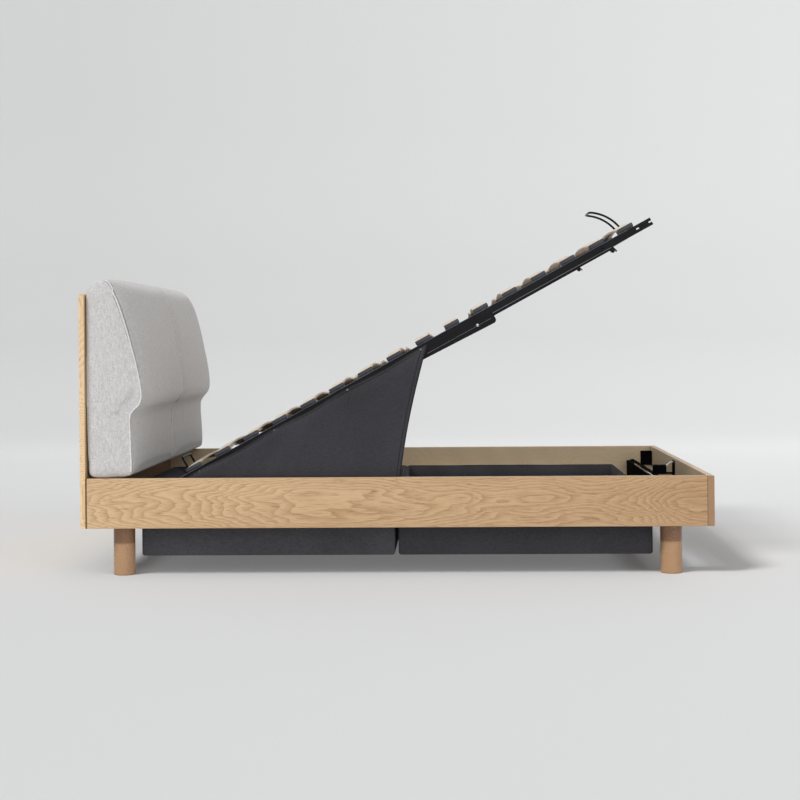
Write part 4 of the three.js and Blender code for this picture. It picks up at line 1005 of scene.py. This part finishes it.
def cushion_line(name, side, from_outer, proud, radius, cloth, first_row):
    """A sewn cord, or a line of painted shade in the seam beside it, over the top's front and
    down the front edge.
    """
    first = CUSHION_SIDE_FINE.index(CUSHION_SIDE[first_row])
    last = CUSHION_SIDE_FINE.index(CUSHION_SIDE[-3]) + 2
    points = []
    for spot in range(first, last):
        point = on_cushion(cushion_outline_point(spot, from_outer, 0.003), proud)
        points.append(Vector((point.x, point.y * -side, point.z)))
    placed_mesh(name, tube_mesh(name, points, radius), "frame", cloth)


# Each line's distance from the outer side, how proud it lies, its radius and cloth, and
# the row of CUSHION_SIDE at which it starts
CUSHION_LINES = {
    "outer_piping_": (0.001, 0.0014, PIPING_RADIUS, piping_cloth, 8),
    "outer_seam_shade_": (-0.003, 0.0004, SEAM_RADIUS, seam_shade_cloth, 8),
    "inner_seam_shade_": (0.0065, 0.0003, SEAM_RADIUS, seam_shade_cloth, 8),
    "middle_piping_": (CUSHION_WIDTH - 0.003, 0.003, PIPING_RADIUS, piping_cloth, 6),
    "middle_seam_shade_": (CUSHION_WIDTH - 0.0085, 0.0005, SEAM_RADIUS, pale_seam_shade_cloth, 6),
}
for side_name, side in SIDES.items():
    for line_name, line in CUSHION_LINES.items():
        cushion_line(line_name + side_name, side, *line)


# Storage bins

BIN_BOTTOM = 0.062
BIN_TOP = 0.269
BIN_HALF_WIDTH = 0.703
BIN_ROUNDING = 0.010
BIN_WALL = 0.004
BIN_HEM_RADIUS = 0.0024
LONGEST_EDGE = 0.07
# How far the hem hangs slack, and how much that varies
HEM_SLACK = 0.0012
HEM_WAVE = 0.0016


def bin_liner(name, node, cloth, x0, x1, slope_run=0, slope_start=0):
    """A box of lining cloth over board, open at the top, its hem a little slack. Its head
    end may slope out over a run, from the height at which the slope starts."""
    bm = bmesh.new()
    size = (x1 - x0, 2 * BIN_HALF_WIDTH, BIN_TOP - BIN_BOTTOM)
    middle = ((x0 + x1) / 2, 0, (BIN_TOP + BIN_BOTTOM) / 2)
    bmesh.ops.create_cube(bm, size=1.0)
    bmesh.ops.scale(bm, vec=size, verts=bm.verts)
    bmesh.ops.translate(bm, vec=middle, verts=bm.verts)
    lid = [face for face in bm.faces if face.normal.z > 0.9]
    bmesh.ops.delete(bm, geom=lid, context="FACES")
    folds = [edge for edge in bm.edges if not edge.is_boundary]
    round_edges(bm, folds, BIN_ROUNDING, segments=4)
    if slope_run:
        bmesh.ops.bisect_plane(
            bm, geom=bm.verts[:] + bm.edges[:] + bm.faces[:],
            plane_co=(0, 0, slope_start), plane_no=(0, 0, 1),
        )
        for vert in bm.verts:
            if vert.co.z > slope_start + 0.001 and vert.co.x < x0 + 0.02:
                share = (vert.co.z - slope_start) / (BIN_TOP - slope_start)
                vert.co.x -= slope_run * share
    for _ in range(4):
        long_edges = [edge for edge in bm.edges if edge.calc_length() > LONGEST_EDGE]
        if not long_edges:
            break
        bmesh.ops.subdivide_edges(bm, edges=long_edges, cuts=1, use_grid_fill=True)
    for vert in bm.verts:
        if vert.co.z > BIN_TOP - 0.001:
            vert.co.z -= HEM_SLACK + HEM_WAVE * noise.noise(vert.co * 7.0)
    bmesh.ops.triangulate(bm, faces=[face for face in bm.faces if len(face.verts) > 4])
    bmesh.ops.recalc_face_normals(bm, faces=bm.faces)
    rim_points = ordered_loop([edge for edge in bm.edges if edge.is_boundary])
    liner = finished_piece(name, bm, "frame", cloth, 50)
    solidify = liner.modifiers.new("cloth over board", "SOLIDIFY")
    solidify.thickness = BIN_WALL
    solidify.offset = -1
    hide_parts(node)
    hem = tube_mesh(name + "_hem", rim_points, BIN_HEM_RADIUS, closed=True)
    placed_mesh(name + "_hem", hem, "frame", hem_tape)


def ordered_loop(edges):
    """The places of a closed loop of edges, in order."""
    start = edges[0].verts[0]
    wanted = set(edges)
    points = [start.co.copy()]
    edge, vert = edges[0], edges[0].other_vert(start)
    while vert is not start:
        points.append(vert.co.copy())
        edge = next(e for e in vert.link_edges if e in wanted and e is not edge)
        vert = edge.other_vert(vert)
    return points


bin_liner("foot_bin_liner", "storage_bin_foot", foot_bin_cloth, 0.0073, 0.908)
bin_liner(
    "head_bin_liner", "storage_bin_head", head_bin_cloth_painted_light, -0.911, -0.0053,
    slope_run=0.129, slope_start=0.190,
)

# The tape that joins the two bins' rims
bridge_tape = bmesh.new()
block(
    bridge_tape, (-0.006, -0.70, BIN_TOP - 0.0045), (0.008, 0.70, BIN_TOP - 0.0025),
    rounding=0.0005,
)
finished_piece("bin_bridge_tape", bridge_tape, "frame", hem_tape)


# Side curtain

CURTAIN_TOP_HEAD = PLATFORM_HEAD + 0.112
CURTAIN_TOP_LENGTH = 0.976
CURTAIN_TOP_ABOVE = 0.024
CURTAIN_BOTTOM = 0.2263
CURTAIN_BOTTOM_HEAD = PLATFORM_HEAD + 0.200
CURTAIN_BOTTOM_LENGTH = 0.713
CURTAIN_Y = -0.7508
CURTAIN_COLUMNS = 150
CURTAIN_ROWS = 80
# How far it hangs in at its foot edge, sags between studs, and hangs clear of the frame
CURTAIN_SWAY = 0.014
CURTAIN_SAG = 0.007
CURTAIN_CLEAR = 0.0065
# Depths of its long folds, its dents and the gathers under the studs
LONG_FOLD = 0.0007
DENT = 0.0012
GATHER = 0.0025
GATHER_REACH = 0.05
GATHER_WIDTH = 0.017
EDGE_RADIUS = 0.0018
SEAM_LINE_RADIUS = 0.0012
STUDS = [PLATFORM_HEAD + from_head for from_head in (0.168, 0.470, 0.766, 1.061)]
stud_shares = [(x - CURTAIN_TOP_HEAD) / CURTAIN_TOP_LENGTH for x in STUDS]


def curtain_place(along, up):
    """A point of the hung curtain: its share from the head side and from the bottom."""
    top = raised_point(
        CURTAIN_TOP_HEAD + CURTAIN_TOP_LENGTH * along, CLOSED_BOTTOM + CURTAIN_TOP_ABOVE,
    )
    bottom = Vector((CURTAIN_BOTTOM_HEAD + CURTAIN_BOTTOM_LENGTH * along, 0, CURTAIN_BOTTOM))
    point = bottom.lerp(top, up)
    point.x -= CURTAIN_SWAY * along * math.sin(math.pi * up)
    from_studs = min(abs(along - share) for share in stud_shares)
    sag = math.sin(math.pi * min(1, from_studs / 0.16) / 2) ** 2
    point.z -= CURTAIN_SAG * sag * up ** 6
    hang = math.sin(math.pi / 2 * min(1, (1 - up) / 0.12))
    drop = (1 - up) * (top.z - CURTAIN_BOTTOM)
    fold = LONG_FOLD * math.sin(2 * math.pi * (along * 5 - up * 1.6)) * hang
    fold += DENT * noise.noise(Vector((along * 9, up * 3, 0.7))) * hang
    for share in stud_shares:
        reach = (along - share - 0.012) * CURTAIN_TOP_LENGTH
        near_stud = math.exp(-(reach / GATHER_REACH) ** 2)
        near_stud *= math.exp(-((drop - 0.045) / GATHER_REACH) ** 2)
        fold += GATHER * near_stud * math.sin(2 * math.pi * reach / GATHER_WIDTH)
    point.y = CURTAIN_Y - CURTAIN_CLEAR * hang - fold
    return point


curtain_bm = bmesh.new()
cloth_uv = curtain_bm.loops.layers.uv.new("cloth")
bmesh.ops.create_grid(
    curtain_bm, x_segments=CURTAIN_COLUMNS, y_segments=CURTAIN_ROWS, size=0.5,
)
for vert in curtain_bm.verts:
    along, up = vert.co.x + 0.5, vert.co.y + 0.5
    for loop in vert.link_loops:
        loop[cloth_uv].uv = (along, up)
for vert in curtain_bm.verts:
    vert.co = curtain_place(vert.co.x + 0.5, vert.co.y + 0.5)
curtain_area = sum(face.calc_area() for face in curtain_bm.faces)
bmesh.ops.recalc_face_normals(curtain_bm, faces=curtain_bm.faces)
curtain = finished_piece("hung_curtain", curtain_bm, "frame", curtain_cloth, 80)
thick = curtain.modifiers.new("cloth", "SOLIDIFY")
thick.thickness = 0.001
thick.offset = 0
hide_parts("side_curtain")


def fold_down(cloth):
    """Gives the cloth a mesh of its own."""
    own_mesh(cloth)


def curtain_hem(name, shares, radius):
    """A sewn edge of the curtain, as a fine rolled line on its face."""
    points = [curtain_place(along, up) + Vector((0, -0.0006, 0)) for along, up in shares]
    mesh = tube_mesh(name, points, radius, resolution=2)
    hem = placed_mesh(name, mesh, "frame", hem_tape)
    fold_down(hem)
    return hem


# Rows of points along the curtain's edges and beside two of them
steps = [step / 60 for step in range(61)]
foot_seam = [(0.985 - 0.006 * up, up) for up in steps[:-1]]
top_seam = [(along * 0.98, 0.965 + 0.015 * along) for along in steps]
hems = [
    curtain_hem("curtain_foot_edge", [(1.0, up) for up in steps], EDGE_RADIUS),
    curtain_hem("curtain_foot_seam", foot_seam, SEAM_LINE_RADIUS),
    curtain_hem("curtain_top_edge", [(along, 1.0) for along in steps], EDGE_RADIUS),
    curtain_hem("curtain_top_seam", top_seam, SEAM_LINE_RADIUS),
    curtain_hem("curtain_head_edge", [(0.0, up) for up in steps], EDGE_RADIUS),
]
fold_down(curtain)

studs = bmesh.new()
for stud_x in STUDS:
    centre = (stud_x, CURTAIN_Y - 0.0012, CLOSED_BOTTOM + 0.019)
    stud_head(studs, centre, radius=0.0042, depth=0.0024, rounding=0.0009)
raise_up(studs)
finished_piece("curtain_studs", studs, "platform", stud_and_highlight_steel)


# Small metalwork

bolts = bmesh.new()
for sign in SIDES.values():
    centre = (PLATFORM_FOOT - 0.713, sign * 0.7425, CLOSED_BOTTOM - 0.003)
    stud_head(bolts, centre, radius=0.0055, depth=0.004, rounding=0.001)
raise_up(bolts)
finished_piece("lift_plate_bolts", bolts, "platform", silver)

# Painted highlights: thin pale strips on edges of the members and the lift plates, where
# the coat would catch the light: the ranges of x, of the distance from the middle, and of z
MEMBER_SIDE = (PLATFORM_HALF_WIDTH - 0.001, PLATFORM_HALF_WIDTH + 0.0011)
PAINTED_HIGHLIGHT_EDGES = [
    ((0.433, 0.91), MEMBER_SIDE, (MEMBER_BOTTOM - 0.0004, MEMBER_BOTTOM + 0.0014)),
    ((PLATFORM_HEAD + 0.03, PLATFORM_FOOT - 0.09), MEMBER_SIDE,
     (MEMBER_TOP - 0.0013, MEMBER_TOP + 0.0001)),
    ((0.163, 0.419), (0.747, 0.7489), (0.2784, 0.2796)),
]
highlight_strips = bmesh.new()
for sign in SIDES.values():
    for (x0, x1), reach, (z0, z1) in PAINTED_HIGHLIGHT_EDGES:
        y0, y1 = side_range(sign, *reach)
        block(highlight_strips, (x0, y0, z0), (x1, y1, z1), rounding=0.0004)
raise_up(highlight_strips)
finished_piece("painted_edge_highlights", highlight_strips, "platform", stud_and_highlight_steel)

# Painted highlight: a thin strip of bright zinc makes the crossbar's top edge bright along its
# middle
crossbar_low, crossbar_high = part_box("foot_crossbar")
BRIGHT_FROM_END = 0.3
crossbar_highlight = bmesh.new()
block(
    crossbar_highlight,
    (crossbar_low[0] - 0.0012, crossbar_low[1] + BRIGHT_FROM_END, crossbar_high[2] - 0.004),
    (crossbar_low[0] + 0.0035, crossbar_high[1] - BRIGHT_FROM_END, crossbar_high[2] + 0.0008),
    rounding=0.0004,
)
finished_piece("crossbar_painted_highlight", crossbar_highlight, "frame", silver)


# Catch strap

STRAP_THICKNESS = 0.0022
STRAP_RISE = 0.024
STRAP_LEAN = 0.017
STRAP_BEND = 0.008


def catch_strap():
    """A webbing strap that stands up from the block and bends over to the plate."""
    strap_low, strap_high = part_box("foot_catch_strap")
    bm = bmesh.new()
    low_x, high_x = strap_low[0] + 0.0005, strap_high[0] - 0.0005
    low_z, high_z = strap_low[2] + 0.0005, strap_high[2] - 0.0006 - STRAP_THICKNESS
    corners = [
        Vector((low_x, 0, low_z)),
        Vector((low_x, 0, low_z + STRAP_RISE)),
        Vector((low_x + STRAP_LEAN, 0, high_z)),
        Vector((high_x, 0, high_z)),
    ]
    y0, y1 = strap_low[1] + 0.0006, strap_high[1] - 0.0006
    verts = [bm.verts.new((x, y0, z)) for x, _, z in rounded_path(corners, STRAP_BEND)]
    edges = [bm.edges.new(pair) for pair in zip(verts, verts[1:])]
    across = bmesh.ops.extrude_edge_only(bm, edges=edges)
    moved = [item for item in across["geom"] if isinstance(item, bmesh.types.BMVert)]
    bmesh.ops.translate(bm, vec=(0, y1 - y0, 0), verts=moved)
    bmesh.ops.solidify(bm, geom=bm.faces[:], thickness=STRAP_THICKNESS)
    bmesh.ops.recalc_face_normals(bm, faces=bm.faces)
    strap = finished_piece("webbing_catch_strap", bm, "frame", webbing)
    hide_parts("foot_catch_strap")


catch_strap()


# Studio

CAMERA_PLACE = Vector((0.1981, -6.2489, 0.8161))
CAMERA_YAW = 0.0324
CAMERA_ROLL = -0.0083
CAMERA_LENS = 70.245
CAMERA_SHIFT = -0.0714
STAGE_HALF_WIDTH = 12
STAGE_FRONT = -9
STAGE_BACK = 5
WALL_RISE = 6


def set_camera():
    """The level camera that was fitted to the rails, legs and panel in the photograph,
    with its frame shifted down to the bed, since the uprights stay parallel there."""
    forward = Vector((-math.sin(CAMERA_YAW), math.cos(CAMERA_YAW), 0))
    level = Vector((math.cos(CAMERA_YAW), math.sin(CAMERA_YAW), 0))
    upward = Vector((0, 0, 1))
    right = math.cos(CAMERA_ROLL) * level + math.sin(CAMERA_ROLL) * upward
    top = -math.sin(CAMERA_ROLL) * level + math.cos(CAMERA_ROLL) * upward
    turn = Matrix((right, top, -forward)).transposed().to_4x4()
    data = bpy.data.cameras.new("camera")
    data.sensor_width = 36
    data.lens = CAMERA_LENS
    data.shift_y = CAMERA_SHIFT
    camera = bpy.data.objects.new("camera", data)
    camera.matrix_world = Matrix.Translation(CAMERA_PLACE) @ turn
    scene.collection.objects.link(camera)
    scene.camera = camera


def soft_lamp(name, azimuth, elevation, strength, spread):
    """An even, soft light from far off: its direction is given as seen from the bed."""
    data = bpy.data.lights.new(name, "SUN")
    data.energy = strength
    data.angle = math.radians(spread)
    lamp = bpy.data.objects.new(name, data)
    turn, rise = math.radians(azimuth), math.radians(elevation)
    towards = Vector((
        math.cos(rise) * math.sin(turn), -math.cos(rise) * math.cos(turn), math.sin(rise),
    ))
    lamp.rotation_euler = towards.to_track_quat("Z", "Y").to_euler()
    scene.collection.objects.link(lamp)


def floor_glow():
    """A wide lamp close under the bins, which fills the shadow on the floor evenly."""
    data = bpy.data.lights.new("floor glow", "AREA")
    data.shape = "RECTANGLE"
    data.size = 1.75
    data.size_y = 1.32
    data.energy = 1.4
    lamp = bpy.data.objects.new("floor glow", data)
    lamp.location = (-0.05, 0, 0.055)
    lamp.visible_camera = False
    scene.collection.objects.link(lamp)


def set_stage():
    """A floor that curves up into a wall, and the light."""
    floor = bmesh.new()
    start = floor.verts.new((-STAGE_HALF_WIDTH, STAGE_FRONT, 0))
    end = floor.verts.new((-STAGE_HALF_WIDTH, STAGE_BACK, 0))
    floor.edges.new((start, end))
    bmesh.ops.spin(
        floor, geom=[end], cent=(0, STAGE_BACK, CURVE_RADIUS), axis=(1, 0, 0),
        angle=math.pi / 2, steps=24,
    )
    top = max(floor.verts, key=lambda vert: vert.co.z)
    risen = bmesh.ops.extrude_vert_indiv(floor, verts=[top])
    bmesh.ops.translate(floor, vec=(0, 0, WALL_RISE), verts=risen["verts"])
    side = bmesh.ops.extrude_edge_only(floor, edges=floor.edges[:])
    new_verts = [item for item in side["geom"] if isinstance(item, bmesh.types.BMVert)]
    bmesh.ops.translate(floor, vec=(2 * STAGE_HALF_WIDTH, 0, 0), verts=new_verts)
    bmesh.ops.recalc_face_normals(floor, faces=floor.faces)
    mesh = bpy.data.meshes.new("studio_floor")
    floor.to_mesh(mesh)
    floor.free()
    mesh.materials.append(studio_paint("matt studio paint"))
    mesh.shade_smooth()
    stage = bpy.data.objects.new("studio_floor", mesh)
    scene.collection.objects.link(stage)
    stage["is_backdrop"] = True
    world = bpy.data.worlds.new("studio light")
    scene.world = world
    world.use_nodes = True
    background = world.node_tree.nodes["Background"].inputs
    background["Color"].default_value = colour("#F6F8FA")
    background["Strength"].default_value = 0.37
    soft_lamp("key light", azimuth=-48, elevation=49.5, strength=2.0, spread=16)
    soft_lamp("fill light", azimuth=30, elevation=10, strength=1.3, spread=80)
    floor_glow()


set_camera()
set_stage()
scene.view_settings.view_transform = "Standard"

low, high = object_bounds()
